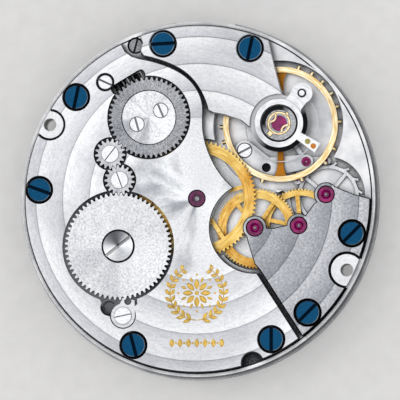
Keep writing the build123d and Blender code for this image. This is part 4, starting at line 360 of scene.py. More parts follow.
# %% [markdown]
# The places of the wheels are read from the frame, so the brushing is centred on the real axes.

# %% Wheel centres
def middle(node):
    """The middle of a node's box in plan, in millimetres."""
    low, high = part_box(node)
    return ((low.x + high.x) / 2 / MM, (low.y + high.y) / 2 / MM)


RATCHET = middle("ratchet_screw")
CROWN = middle("crown_wheel")
BALANCE = middle("balance_staff")
UPPER_SMALL = middle("intermediate_wheel_1")
LOWER_SMALL = middle("intermediate_wheel_2")
THIRD = middle("third_wheel")
FOURTH = middle("fourth_wheel")
print("ratchet at", RATCHET, "balance at", BALANCE)

# %% [markdown]
# The bridges are brass plated with rhodium. Their tops carry circular stripes, ground in rings
# about 2 mm wide round the middle of the movement. Each ring is a very shallow trough, so it
# shades from light to dark and meets the next in a crisp line. A mesh that fine would be heavy,
# so the trough is a bump, and its shade is painted as a ramp across the stripe.

# %% Stripes
STRIPE_WIDTH = 2.0
STRIPE_DEPTH = 0.008
GRAIN_DEPTH = 0.0035
RINGS_FROM = 4.4
RINGS_FULL = 6.4


def stripe_relief(tree, radius, grain):
    """Where a point lies across its stripe, from 0 to 1, and the normal of the trough and its grain."""
    share = add_node(tree, "Math", (radius, STRIPE_WIDTH), operation="DIVIDE")
    phase = add_node(tree, "Math", (share,), operation="FRACT")
    centred = add_node(tree, "Math", (phase, 0.5), operation="SUBTRACT")
    trough = add_node(tree, "Math", (centred, centred), operation="MULTIPLY")
    height = add_node(tree, "Math", (trough, 4 * STRIPE_DEPTH, 0.0), operation="MULTIPLY_ADD")
    fine = add_node(tree, "Math", (grain, GRAIN_DEPTH, height), operation="MULTIPLY_ADD")
    bump = add_node(tree, "Bump", {"Height": fine, "Distance": MM, "Strength": 1.0})
    return phase, bump


def stripe_tone(tree, radius, direction, grain, phase, speckles, ring_shade_stops):
    """The colour of a striped top: painted shade across each ring, and a painted swirl of sheen where the
    rings are faint.
    """
    here = add_node(tree, "MapRange", (radius, RINGS_FROM, RINGS_FULL))
    # Each ring's painted shade, light to dark across the stripe.
    rings = add_node(tree, "ValToRGB", (phase,), ring_shade_stops)
    rings = add_node(tree, "Mix", (here, "FAFBFB", rings), **COLOURS)
    # A broad swirl of painted sheen, calmer where the rings show.
    broad = brush_lines(tree, radius, direction, 0.22, 1.3)
    sheen_swirl = add_node(tree, "ValToRGB", (broad,), [(0.36, "B4B6BA"), (0.5, "FFFFFF")])
    calm = add_node(tree, "Math", (here, 0.6), operation="MULTIPLY")
    sheen_swirl = add_node(tree, "Mix", (calm, sheen_swirl, "FFFFFF"), **COLOURS)
    speckle = add_node(tree, "ValToRGB", (grain,), speckles)
    lines = brush_lines(tree, radius, direction, 7.0, 22.0)
    strokes = add_node(tree, "ValToRGB", (lines,), [(0.3, "ECEDEF"), (0.6, "FFFFFF")])
    ground = add_node(tree, "Mix", (1.0, rings, speckle), **PRODUCT)
    worked = add_node(tree, "Mix", (1.0, sheen_swirl, strokes), **PRODUCT)
    return add_node(tree, "Mix", (1.0, ground, worked), **PRODUCT)


print("stripes:", STRIPE_WIDTH, "mm wide,", STRIPE_DEPTH, "mm deep")

# %% [markdown]
# The recesses that take the wheels are milled, and their floors are plain grey; the deepest are painted
# darkest, as shade.
# The round seat about the balance's axis is turned, and light and shade are painted on it: light on one side
# and dark on the other.
# On one side of the ratchet wheel light falls into the gap, so the painted shade of the gap is paler there.

# %% Recesses and gaps, with painted light and shade
DEEP_RECESS = (2.09, 2.12)
SEAT_RADIUS = 2.45
SEAT_LIGHT = (-0.64, 0.77, 0.0)
SEAT_LIGHT_AND_SHADE = [(0.0, "1C1D20"), (1.0, "E6E7E9")]
WHEEL_REACH = 4.6
WHEEL_LIGHT = (-0.80, -0.60, 0.0)


def recess_tone(tree):
    """The colour of the recess floors, painted darker on the deepest as shade, and the painted light and
    shade of the seat about the balance's axis.
    """
    depth = height_share(tree, *DEEP_RECESS)
    # The deepest floors are painted darker, as shade.
    plain = add_node(tree, "Mix", (depth, "6A6C70", "C4C6CA"), **COLOURS)
    _, radius, direction = ring_coordinates(tree, BALANCE)
    on_seat = add_node(tree, "Math", (radius, SEAT_RADIUS), operation="LESS_THAN")
    # The seat is painted light on one side and dark on the other.
    lit = facing(tree, direction, SEAT_LIGHT, -0.35, 0.55)
    seat = add_node(tree, "ValToRGB", (lit,), SEAT_LIGHT_AND_SHADE)
    return add_node(tree, "Mix", (on_seat, plain, seat), **COLOURS)


def gap_shade_tone(tree):
    """The painted shade of the gaps: dark, but paler on the lit side of the ratchet wheel."""
    _, radius, direction = ring_coordinates(tree, RATCHET)
    by_wheel = add_node(tree, "Math", (radius, WHEEL_REACH), operation="LESS_THAN")
    lit = facing(tree, direction, WHEEL_LIGHT, -0.1, 0.6)
    share = add_node(tree, "Math", (by_wheel, lit), operation="MULTIPLY")
    return add_node(tree, "Mix", (share, GAP_SHADE_COLOUR, "8E9094"), **COLOURS)


# %% [markdown]
# One material sorts the faces of a bridge by the way they look and by their height: the striped
# top, the floors of the recesses, the bevels, painted as a reflection of the dark gaps, and the upright
# walls, painted dark as shade.

# %% Striped rhodium
TOP_SHARE = 0.97
WALL_SHARE = 0.3
STRIPED_TOP = (2.30, 2.33)
WALL_SHADE_COLOUR = "2A2B2E"


def up_share(tree):
    """How far a face looks up: 1 for a flat top, 0 for a wall and -1 for an underside."""
    normal = add_node(tree, "NewGeometry", output="True Normal")
    return add_node(tree, "SeparateXYZ", (normal,), output="Z")


def striped_rhodium(name, speckles, ring_shade_stops, bevel):
    """Circular stripes on the top, a bevel painted as a reflection, walls painted dark as shade, and plain
    floors in the recesses, the deepest painted darker.
    """
    material, tree, shader = begin_material(name, Metallic=1.0, Anisotropic=0.5)
    flat, radius, direction = ring_coordinates(tree)
    grain = add_node(tree, "TexNoise", {"Vector": flat, "Scale": 5.5, "Detail": 5.0, "Roughness": 0.7})
    phase, bump = stripe_relief(tree, radius, grain)
    striped = stripe_tone(tree, radius, direction, grain, phase, speckles, ring_shade_stops)
    up = up_share(tree)
    is_top = add_node(tree, "Math", (up, TOP_SHARE), operation="GREATER_THAN")
    is_bevel = add_node(tree, "Math", (up, WALL_SHARE), operation="GREATER_THAN")
    at_top = height_share(tree, *STRIPED_TOP)
    is_striped = add_node(tree, "Math", (is_top, at_top), operation="MULTIPLY")
    is_floor = add_node(tree, "Math", (is_top, is_striped), operation="SUBTRACT")
    # The walls are painted dark as shade, and the bevel with a painted reflection.
    colour = add_node(tree, "Mix", (is_bevel, WALL_SHADE_COLOUR, bevel), **COLOURS)
    colour = add_node(tree, "Mix", (is_floor, colour, recess_tone(tree)), **COLOURS)
    colour = add_node(tree, "Mix", (is_striped, colour, striped), **COLOURS)
    top_rough = add_node(tree, "MapRange", {"Value": grain, "To Min": 0.26, "To Max": 0.44})
    rough = add_node(tree, "Mix", (is_floor, 0.14, 0.5))
    rough = add_node(tree, "Mix", (is_striped, rough, top_rough))
    smooth = add_node(tree, "NewGeometry", output="Normal")
    normal = add_node(tree, "Mix", (is_striped, smooth, bump), data_type="VECTOR")
    # Shade is painted into the gaps.
    connect(tree, shader, Base_Color=paint_gap_shade(tree, colour, 0.2, 0.65, gap_shade_tone(tree)), Roughness=rough,
            Normal=normal, Tangent=across_tangent(tree, direction, False))
    return material


# The three bridges have one plating, and their copies differ in painted light and shade: the train bridge's
# is painted greyer, as shade. The last hex of each is its bevel, painted as a reflection.
barrel_rhodium = striped_rhodium(
    "rhodium plated brass, barrel bridge", [(0.32, "E2E3E6"), (0.66, "FFFFFF")],
    [(0.0, "ADAFB4"), (0.06, "D8D9DC"), (0.9, "FFFFFF")], "4A4C50")
cock_rhodium = striped_rhodium(
    "rhodium plated brass, balance cock", [(0.32, "E6E7E9"), (0.66, "FFFFFF")],
    [(0.0, "8A8C90"), (0.06, "DFE0E3"), (0.9, "FFFFFF")], "A9ABAF")
shaded_train_rhodium = striped_rhodium(
    "rhodium plated brass, train bridge, painted greyer as shade", [(0.32, "9A9CA1"), (0.66, "DCDDE0")],
    [(0.0, "66686D"), (0.06, "FFFFFF"), (0.9, "CCCED1")], "1A1B1E")
print("bridges:", barrel_rhodium.name, "|", cock_rhodium.name, "|", shaded_train_rhodium.name)

# %% [markdown]
# The main plate under the bridges is plated too, but it is frosted: a fine, even grain that
# scatters light. Its dial side carries overlapping polished spots in rows, pressed with a turning peg.
# A Voronoi texture without randomness is such a grid, and a sine of its distance draws the rings.

# %% Frosted plate
SPOT_PITCH = 1.1
SPOT_RINGS = 60.0
SPOT_TONES = [(0.0, "C4C6CA"), (0.1, "F6F6F7"), (0.48, "DADBDE"), (0.66, "B4B6BA")]
CLOUD_TONES = [(0.3, "C9CBCF"), (0.62, "F4F4F5")]
FROST_DEPTH = 0.004

frosted, tree, shader = begin_material("rhodium plated brass, frosted", Metallic=1.0, Anisotropic=0.0)
place = add_node(tree, "TexCoord", output="Object")
grain = add_node(tree, "TexNoise", {"Vector": place, "Scale": 9.0 / MM, "Detail": 4.0})
cloud = add_node(tree, "TexNoise", {"Vector": place, "Scale": 0.6 / MM, "Detail": 5.0})
flat, radius, _ = ring_coordinates(tree)
spots = add_node(tree, "TexVoronoi", {"Vector": flat, "Scale": 1 / SPOT_PITCH, "Randomness": 0.0})
rings = add_node(tree, "Math", (spots, SPOT_RINGS), operation="MULTIPLY")
waves = add_node(tree, "Math", (rings,), operation="SINE")
up = up_share(tree)
is_under = add_node(tree, "Math", (up, -TOP_SHARE), operation="LESS_THAN")
relief = add_node(tree, "Mix", (is_under, grain, waves))
bump = add_node(tree, "Bump", {"Height": relief, "Distance": FROST_DEPTH * MM, "Strength": 1.0})
cloudy = add_node(tree, "ValToRGB", (cloud,), CLOUD_TONES)
spotted = add_node(tree, "ValToRGB", (spots,), SPOT_TONES)
plate_tone = add_node(tree, "Mix", (is_under, cloudy, spotted), **COLOURS)
print("spots every", SPOT_PITCH, "mm on the dial side")

# %% [markdown]
# Two places of the plate are dark: the low parts near its rim, mottled by the grain,
# and the upright wall of the rim, painted dark as shade because it does not face the overhead light.

# %% Groove and rim
GROOVE_IN = 11.7
GROOVE_OUT = 13.14
GROOVE_TOP = (1.60, 1.66)
GROOVE_FLOOR = (0.60, 0.64)
GROOVE_TONES = [(0.4, "26272A"), (0.62, "77797C")]
RIM_RADIUS = 12.95
RIM_SHADE_COLOUR = "56585C"

outside = add_node(tree, "Math", (radius, GROOVE_IN), operation="GREATER_THAN")
inside = add_node(tree, "Math", (radius, GROOVE_OUT), operation="LESS_THAN")
below = add_node(tree, "Math", (1.0, height_share(tree, *GROOVE_TOP)), operation="SUBTRACT")
in_groove = outside
for share in (inside, below, height_share(tree, *GROOVE_FLOOR)):
    in_groove = add_node(tree, "Math", (in_groove, share), operation="MULTIPLY")
groove_mottle = add_node(tree, "ValToRGB", (grain,), GROOVE_TONES)
plate_tone = add_node(tree, "Mix", (in_groove, plate_tone, groove_mottle), **COLOURS)
steepness = add_node(tree, "Math", (up,), operation="ABSOLUTE")
is_wall = add_node(tree, "Math", (steepness, WALL_SHARE), operation="LESS_THAN")
at_rim = add_node(tree, "Math", (radius, RIM_RADIUS), operation="GREATER_THAN")
rim_wall = add_node(tree, "Math", (is_wall, at_rim), operation="MULTIPLY")
# The upright wall of the rim is painted dark, as shade.
plate_tone = add_node(tree, "Mix", (rim_wall, plate_tone, RIM_SHADE_COLOUR), **COLOURS)
rough = add_node(tree, "MapRange", {"Value": grain, "To Min": 0.30, "To Max": 0.52})
# Shade is painted into the gaps.
connect(tree, shader, Base_Color=paint_gap_shade(tree, plate_tone, 0.42, 0.78), Roughness=rough, Normal=bump)
print("groove from", GROOVE_IN, "to", GROOVE_OUT, "mm")

# %% [markdown]
# Winding wheels are hardened steel, flat ground in rings. The larger the wheel, the longer the lines.
# The crown wheel's outer ring is ground like rays, which is why it looks ticked from tooth to tooth.

# %% Steel wheels
# Below this height the steel wheels are painted darker, as shade.
WHEEL_SHADE = 2.30
WHEEL_SHADE_COLOUR = "77797D"

ratchet_steel = brushed_metal(
    "hardened steel, ring ground, ratchet", "F4F4F5", "B4B6BA", RATCHET,
    7.0, 18.0, (0.22, 0.38), 0.5, False, WHEEL_SHADE, WHEEL_SHADE_COLOUR)
crown_steel = brushed_metal(
    "hardened steel, ray ground, crown", "BEC0C4", "66686D", CROWN,
    5.0, 34.0, (0.24, 0.38), 0.5, True, WHEEL_SHADE, WHEEL_SHADE_COLOUR)
upper_steel = brushed_metal(
    "hardened steel, ray ground, upper", "DEDFE2", "9A9DA2", UPPER_SMALL,
    0.6, 14.0, (0.24, 0.38), 0.5, rays=True)
lower_steel = brushed_metal(
    "hardened steel, ray ground, lower", "DEDFE2", "9A9DA2", LOWER_SMALL,
    0.6, 14.0, (0.24, 0.38), 0.5, rays=True)
# The last hex is the dark end of the painted sheen.
core_steel = brushed_metal(
    "polished steel, crown core", "F4F4F6", "B9BBBF", CROWN,
    6.0, 12.0, (0.16, 0.26), 0.85, sector="BFC1C4")
print("steel wheels:", ratchet_steel.name, "|", crown_steel.name, "|", core_steel.name)

# %% [markdown]
# Levers, springs and pinions are steel too. Those in the open are satin finished, and those that
# lie deep are darker. The click spring, in its pocket, is painted almost black as the pocket's shade.

# %% Small steel
small_part_steel = brushed_metal(
    "satin steel, small parts", "E4E5E7", "B9BBBF", CROWN,
    6.0, 3.0, (0.24, 0.36), 0.3)
dark_steel = brushed_metal("darker steel", "A9ABAE", "6E7074", CENTRE, 4.0, 3.0, (0.24, 0.4), 0.2)
regulator_steel = brushed_metal(
    "satin steel, regulator", "EFEFF1", "C6C8CB", BALANCE,
    5.0, 3.0, (0.2, 0.32), 0.4)
# The click spring is painted almost black, as the shade of its pocket.
pocket_shade_steel = brushed_metal(
    "steel, click spring, painted shade", "4A4B4E", "2A2B2E", RATCHET,
    4.0, 3.0, (0.3, 0.44), 0.2)
spring_steel = brushed_metal("tempered spring steel", "D2D3D5", "B9BABD", BALANCE, 3.0, 3.0, (0.3, 0.44), 0.2)
stud_steel = brushed_metal(
    "polished steel, stud", "F4F4F5", "C9CBCE", middle("stud"),
    6.0, 4.0, (0.16, 0.26), 0.2)
tint(stud_steel, middle("stud"), [(0.19, "FFFFFF"), (0.21, "3A3B3E")])
print("small steel:", small_part_steel.name, "|", dark_steel.name, "|", spring_steel.name)

# %% [markdown]
# The block that carries the balance jewel is frosted, and a dark crescent of shade is painted on its
# edge at the upper left. The crescent is a share of the radius times a share of the direction.

# %% Shock block steel
CRESCENT_RADIUS = 0.98
CRESCENT_SHADE_COLOUR = "1A1B1D"

disc_steel = brushed_metal(
    "frosted steel, shock block", "D4D5D7", "707276", BALANCE,
    9.0, 20.0, (0.26, 0.4), 0.2)
tree = disc_steel.node_tree
_, radius, direction = ring_coordinates(tree, BALANCE)
outer = add_node(tree, "Math", (radius, CRESCENT_RADIUS), operation="GREATER_THAN")
side = facing(tree, direction, SEAT_LIGHT, 0.1, 0.6)
# The crescent is painted shade.
crescent = add_node(tree, "Math", (outer, side), operation="MULTIPLY")
coat(disc_steel, crescent, CRESCENT_SHADE_COLOUR, **COLOURS)
print("crescent beyond", CRESCENT_RADIUS, "mm from the balance's axis")

# %% [markdown]
# Train wheels are brass with a thin layer of gold, brushed in rings round their own arbors.
# The balance is a copper alloy, bright on its rim. Its arms lie lower and are painted darker and browner, as
# shade.

# %% Gilt wheels
def gilt(name, centre):
    """Gold over brass, brushed in rings about one arbor."""
    # The last hex is the dark end of the painted sheen.
    return brushed_metal(name, "F5D483", "BB923F", centre, 7.0, 4.0, (0.2, 0.34), 0.4, sector="E2BC78")


centre_gilt = gilt("gilt brass, centre wheel", CENTRE)
third_gilt = gilt("gilt brass, third wheel", THIRD)
fourth_gilt = gilt("gilt brass, fourth wheel", FOURTH)
barrel_gilt = gilt("gilt brass, barrel", RATCHET)
# Below 1.30 mm the arms are painted darker and browner, as shade.
balance_gilt = brushed_metal(
    "gilt copper alloy, balance", "FFF6D6", "CDA455", BALANCE,
    8.0, 4.0, (0.16, 0.28), 0.4, shade_height=1.30, shade_colour="D08A2E")
spring_gilt = brushed_metal(
    "gilt steel, shock spring", "FFEEC4", "E0BE82", BALANCE,
    6.0, 4.0, (0.16, 0.28), 0.2)
curb_gilt = brushed_metal("gilt brass, curb pins", "FFFFFF", "D0D0D0", BALANCE, 6.0, 4.0, (0.2, 0.3), 0.2)
tint(curb_gilt, BALANCE, [(2.7, "A39C5C"), (2.9, "CB7F3B")])
print("gilt:", centre_gilt.name, "|", balance_gilt.name, "|", spring_gilt.name)

# %% [markdown]
# Watch rubies are grown stones, polished all over. They are clear, but set in bright metal they
# read as a deep pink with a pale glint, so most of the colour is kept in the surface.
# The one in the middle is a darker purple.

# %% Ruby
CENTRE_JEWEL = 1.2

ruby, tree, shader = begin_material("synthetic ruby", Roughness=0.12, IOR=1.77, Specular_IOR_Level=0.2)
flat, radius, _ = ring_coordinates(tree)
veil = add_node(tree, "TexNoise", {"Vector": flat, "Scale": 2.2, "Detail": 3.0})
pink = add_node(tree, "ValToRGB", (veil,), [(0.35, "70024C"), (0.65, "B40C78")])
purple = add_node(tree, "ValToRGB", (veil,), [(0.35, "4A0838"), (0.65, "7E1662")])
is_outer = add_node(tree, "Math", (radius, CENTRE_JEWEL), operation="GREATER_THAN")
stone = add_node(tree, "Mix", (is_outer, purple, pink), **COLOURS)
connect(tree, shader, Base_Color=stone)
print("ruby: purple within", CENTRE_JEWEL, "mm of the middle, pink beyond")

# %% [markdown]
# What repeats is a good job for Geometry Nodes. A tree gets points, a material and named sizes.
# It makes one shape, sets it on each point, and turns it by the angle that the point carries.
# The copies are made real at the end, so that the result is one plain mesh.

# %% Trees for what repeats
def begin_tree(name, sizes):
    """A tree with points and a material as inputs, and sizes between them: the tree, its inputs by name."""
    tree = bpy.data.node_groups.new(name, "GeometryNodeTree")
    tree.interface.new_socket("Geometry", in_out="OUTPUT", socket_type="NodeSocketGeometry")
    kinds = {"Geometry": "Geometry", **dict.fromkeys(sizes, "Float"), "Material": "Material"}
    sockets = {label: tree.interface.new_socket(label, in_out="INPUT", socket_type="NodeSocket" + kind)
               for label, kind in kinds.items()}
    return tree, sockets, add_node(tree, "NodeGroupInput").node.outputs


def end_tree(tree, given, shape, scale):
    """Sets a shape on each point, turned and scaled, makes it real and gives it the material."""
    turn = add_node(tree, "GeometryNodeInputNamedAttribute", {"Name": "turn"}, data_type="FLOAT")
    rotation = add_node(tree, "CombineXYZ", {"Z": turn})
    placed = add_node(tree, "GeometryNodeInstanceOnPoints", {
        "Points": given["Geometry"], "Instance": shape, "Rotation": rotation, "Scale": scale})
    real = add_node(tree, "GeometryNodeRealizeInstances", {"Geometry": placed})
    finished = add_node(tree, "GeometryNodeSetMaterial", {"Geometry": real, "Material": given["Material"]})
    add_node(tree, "NodeGroupOutput", {"Geometry": finished})
    print(tree.name + ":", len(tree.nodes), "nodes")


def sum_of(tree, *terms):
    """Adds sockets and numbers. A term given as a pair is multiplied by its second value."""
    total = 0.0
    for term in terms:
        value, factor = term if isinstance(term, tuple) else (term, 1.0)
        total = add_node(tree, "Math", (value, factor, total), operation="MULTIPLY_ADD")
    return total


def lifted(tree, mesh, height):
    """Moves a mesh straight up by a height."""
    offset = add_node(tree, "CombineXYZ", {"Z": height})
    return add_node(tree, "GeometryNodeTransform", {"Geometry": mesh, "Translation": offset})


# %% [markdown]
# Every screw has the same make: a plain shank, a flat head with a bevel, and a sawn slot.
# The three round parts are joined into one solid, and a bar is cut out of it for the slot.
# A point's height is the top of its screw, so everything is built downwards from there.

# %% Screw shape
SCREW_SIDES = 48
SCREW_SIZES = ("Head radius", "Head height", "Bevel", "Slot width", "Slot depth",
               "Shank radius", "Shank length")

screw_tree, screw_sockets, given = begin_tree("slotted screws", SCREW_SIZES)
head = add_node(screw_tree, "GeometryNodeMeshCylinder", {
    "Vertices": SCREW_SIDES, "Radius": given["Head radius"],
    "Depth": sum_of(screw_tree, given["Head height"], (given["Bevel"], -1.0))})
bevel = add_node(screw_tree, "GeometryNodeMeshCone", {
    "Vertices": SCREW_SIDES, "Radius Bottom": given["Head radius"], "Depth": given["Bevel"],
    "Radius Top": sum_of(screw_tree, given["Head radius"], (given["Bevel"], -1.0))})
shank = add_node(screw_tree, "GeometryNodeMeshCylinder", {
    "Vertices": SCREW_SIDES, "Radius": given["Shank radius"], "Depth": given["Shank length"]})
head_middle = sum_of(screw_tree, (given["Head height"], -0.5), (given["Bevel"], -0.5))
bevel_bottom = sum_of(screw_tree, (given["Bevel"], -1.0))
shank_middle = sum_of(screw_tree, (given["Head height"], -1.0), (given["Shank length"], -0.5))
solid = add_node(screw_tree, "GeometryNodeMeshBoolean", operation="UNION", solver="EXACT")
for part, height in ((head, head_middle), (bevel, bevel_bottom), (shank, shank_middle)):
    screw_tree.links.new(lifted(screw_tree, part, height), solid.node.inputs["Mesh 2"])
bar_size = add_node(screw_tree, "CombineXYZ", {
    "X": sum_of(screw_tree, (given["Head radius"], 3.0)), "Y": given["Slot width"],
    "Z": sum_of(screw_tree, (given["Slot depth"], 2.0))})
bar = add_node(screw_tree, "GeometryNodeMeshCube", {"Size": bar_size})
sawn = add_node(screw_tree, "GeometryNodeMeshBoolean", {
    "Mesh 1": solid, "Mesh 2": bar}, operation="DIFFERENCE", solver="EXACT")
print("screw sizes:", ", ".join(SCREW_SIZES))

# %% [markdown]
# The faces of the slot are marked with an attribute, so that the material can leave them dark.
# They are the faces near the middle line, below the top and not below the bottom of the slot.

# %% Slot mark
at = add_node(screw_tree, "GeometryNodeInputPosition")
at = add_node(screw_tree, "SeparateXYZ", (at,)).node.outputs
aside = add_node(screw_tree, "Math", (at["Y"],), operation="ABSOLUTE")
slot_edge = sum_of(screw_tree, (given["Slot width"], 0.55))
slot_top = sum_of(screw_tree, (given["Slot depth"], -0.1))
slot_bottom = sum_of(screw_tree, (given["Slot depth"], -1.1))
marked = add_node(screw_tree, "Math", (aside, slot_edge), operation="LESS_THAN")
under = add_node(screw_tree, "Math", (at["Z"], slot_top), operation="LESS_THAN")
over = add_node(screw_tree, "Math", (at["Z"], slot_bottom), operation="GREATER_THAN")
for share in (under, over):
    marked = add_node(screw_tree, "Math", (marked, share), operation="MULTIPLY")
screw = add_node(screw_tree, "GeometryNodeStoreNamedAttribute", {
    "Geometry": sawn, "Name": "slot", "Value": marked}, data_type="FLOAT", domain="FACE")
end_tree(screw_tree, given, screw, (MM, MM, MM))

# %% [markdown]
# A set of screws starts as loose points that carry a turn. The modifier is given its sizes,
# the result is copied into a plain mesh, and the modifier goes, so nothing is left to work out later.

# %% Set of screws
def baked(tree, sockets, name, points, attributes, values, body, nodes):
    """Runs a tree on a set of points and keeps the result as one plain piece that stands for CAD nodes."""
    start = bpy.data.meshes.new(name + "_points")
    start.from_pydata([Vector(p) * MM for p in points], [], [])
    for label, numbers in attributes.items():
        start.attributes.new(label, "FLOAT", "POINT").data.foreach_set("value", numbers)
    holder = add_object(name + "_points", start)
    modifier = holder.modifiers.new("make", "NODES")
    modifier.node_group = tree
    for label, value in values.items():
        modifier[sockets[label].identifier] = value
    evaluated = holder.evaluated_get(bpy.context.evaluated_depsgraph_get())
    mesh = bpy.data.meshes.new_from_object(evaluated)
    holder.modifiers.remove(modifier)
    bpy.data.objects.remove(holder)
    piece = add_object(name, mesh)
    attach(piece, body)
    if nodes:
        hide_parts(*nodes)
    print(name, "triangles:", sum(len(p.vertices) - 2 for p in mesh.polygons))


def screws(name, places, sizes, material, body, nodes=()):
    """Screws at places given as x, y, top height and slot angle, with sizes in the order of SCREW_SIZES."""
    values = dict(zip(SCREW_SIZES, sizes))
    values["Material"] = material
    points = [place[:3] for place in places]
    turns = {"turn": [math.radians(place[3]) for place in places]}
    baked(screw_tree, screw_sockets, name, points, turns, values, body, nodes)


# %% [markdown]
# A blued screw is steel heated until a thin oxide turns it blue, so it is a metal with a blue
# reflection and not a paint. Polished screws are the same steel left bright.
# In both the bevel is painted as a reflection, pale on most, and the walls of the head and of the slot
# are painted dark as shade. The slot is left rough, because nothing polishes it.

# %% Screw steel
LINES_PER_MM = 3.0
LINE_LENGTH_SHARE = 8
SLOT_ROUGHNESS = 0.6


def turned_steel(name, light, dark, edge, slot_colour, wall_shade_colour):
    """A turned steel head: brushed top, a bevel painted as a reflection, and the walls of the head and of its
    slot painted dark as shade.
    """
    material, tree, shader = begin_material(name, Metallic=1.0)
    place = add_node(tree, "TexCoord", output="Object")
    drawn_out = (LINES_PER_MM / MM, LINE_LENGTH_SHARE * LINES_PER_MM / MM, 0.0)
    scaled = add_node(tree, "Mapping", {"Vector": place, "Scale": drawn_out})
    lines = add_node(tree, "TexNoise", {"Vector": scaled, "Scale": 1.0, "Detail": 3.0})
    top = add_node(tree, "ValToRGB", (lines,), [(0.3, dark), (0.7, light)])
    up = up_share(tree)
    is_top = add_node(tree, "Math", (up, TOP_SHARE), operation="GREATER_THAN")
    is_side = add_node(tree, "Math", (up, WALL_SHARE), operation="LESS_THAN")
    in_slot = add_node(tree, "Attribute", output="Fac", attribute_name="slot")
    # The bevel is a painted reflection, and the walls are painted dark as shade.
    rim = add_node(tree, "Mix", (is_side, edge, wall_shade_colour), **COLOURS)
    face = add_node(tree, "Mix", (is_top, rim, top), **COLOURS)
    cut = add_node(tree, "Mix", (is_top, wall_shade_colour, slot_colour), **COLOURS)
    colour = add_node(tree, "Mix", (in_slot, face, cut), **COLOURS)
    polished = add_node(tree, "MapRange", {"Value": lines, "To Min": 0.14, "To Max": 0.26})
    rough = add_node(tree, "Mix", (in_slot, polished, SLOT_ROUGHNESS))
    # Shade is painted into the gaps.
    connect(tree, shader, Base_Color=paint_gap_shade(tree, colour), Roughness=rough)
    return material


# Third hex: the bevel's painted reflection. Last hex: the painted shade of the walls.
blued_steel = turned_steel("blued steel", "164C70", "0D3654", "A3B4BF", "0A2035", "06121E")
bright_steel = turned_steel("polished steel, screw heads", "F0F0F2", "BDBFC3", "FAFAFB", "A9ABAF", "17181B")
# The lever screw sits in a shaded pocket, so its head is painted darker, as shade.
shaded_lever_screw_steel = turned_steel("darker steel, lever screw, painted shade", "9A9CA0", "5A5C60", "C2C4C7", "3A3B3E", "101113")
print("screw steel:", blued_steel.name, "|", bright_steel.name, "|", shaded_lever_screw_steel.name)

# %% [markdown]
# The big screw of the ratchet wheel is polished so flat that its whole top mirrors the room and
# changes tone from one side to the other. That reflection is painted: a ramp along the direction from its
# middle gives the sweep.

# %% Ratchet screw steel
SWEEP_TOWARDS = (-0.34, 0.94, 0.0)
REFLECTION_TONES = [(0.0, "B9BBBE"), (0.4, "F6F6F7"), (0.62, "D9DADC"), (0.86, "8A8C90"), (1.0, "55575A")]

large_screw_steel = turned_steel(
    "polished steel, ratchet screw", "FFFFFF", "DADBDD", "3A3B3E", "FFFFFF", "17181B")
tree = large_screw_steel.node_tree
_, _, direction = ring_coordinates(tree, RATCHET)
turned = facing(tree, direction, SWEEP_TOWARDS, -1.0, 1.0)
# A painted reflection that sweeps across the top.
painted_reflection = add_node(tree, "ValToRGB", (turned,), REFLECTION_TONES)
coat(large_screw_steel, 1.0, painted_reflection, **PRODUCT)
print("ratchet screw:", len(REFLECTION_TONES), "tones across its top")

# %% [markdown]
# Eight blued screws hold the bridges. Three steel screws with shoulders carry the small wheels
# and the click, and five small ones hold the crown wheel's core, the cover, the lever and the
# pallet bridge. The big one in the middle of the ratchet wheel holds it on the barrel's arbor.

# %% Screws
BRIDGE_TOP = 2.35
CORE_TOP = 2.42
LEVER_SCREW_TOP = 1.62
PALLET_SCREW_TOP = 1.00
SCREW_CIRCLE = 11.82
BLUE_HEAD_HEIGHT = 0.35
BLUE_TURNS = [(102.4, 3), (70.4, 78), (139.8, 78), (176.4, -20),
              (246.4, -75), (297.9, 90), (314.1, 45), (347.0, 45)]


def polar(centre, radius, degrees):
    """The place at a distance and an angle from a centre."""
    angle = math.radians(degrees)
    return (centre[0] + radius * math.cos(angle), centre[1] + radius * math.sin(angle))


blue_places = [(*polar(CENTRE, SCREW_CIRCLE, angle), BRIDGE_TOP, turn) for angle, turn in BLUE_TURNS]
blue_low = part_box("bridge_screws")[0].z / MM
blue_length = BRIDGE_TOP - BLUE_HEAD_HEIGHT - blue_low
screws("blued_screws", blue_places, (0.86, BLUE_HEAD_HEIGHT, 0.04, 0.26, 0.14, 0.40, blue_length),
       blued_steel, "frame", ["bridge_screws"])
screws("core_screws", [(-2.70, 6.57, CORE_TOP, -67), (-4.47, 5.56, CORE_TOP, -74)],
       (0.54, 0.14, 0.04, 0.15, 0.07, 0.26, 0.54),
       bright_steel, "frame", ["small_steel_screws"])
screws("cover_screw", [(-6.86, 8.72, BRIDGE_TOP, -25)],
       (0.54, 0.24, 0.05, 0.15, 0.12, 0.26, 2.09), bright_steel, "frame")
screws("lever_screw", [(-4.66, 11.48, LEVER_SCREW_TOP, 75)],
       (0.54, 0.32, 0.05, 0.15, 0.10, 0.26, 1.14), shaded_lever_screw_steel, "frame")
screws("pallet_bridge_screw", [(3.41, 3.65, PALLET_SCREW_TOP, 27)],
       (0.54, 0.12, 0.04, 0.15, 0.06, 0.26, 0.48), bright_steel, "frame")

# %% [markdown]
# The ratchet wheel's screw turns with the wheel, so it is a piece of its own that rides on it.
# A shoulder screw has a wide shank, on which its wheel or the click turns.

# %% Ratchet and shoulder screws
RATCHET_SCREW_TOP = 2.46
RATCHET_HEAD_HEIGHT = 0.24
SHOULDER_TOP = 2.48
SHOULDER_HEAD_HEIGHT = 0.10
CLICK = (-5.51, -8.65)

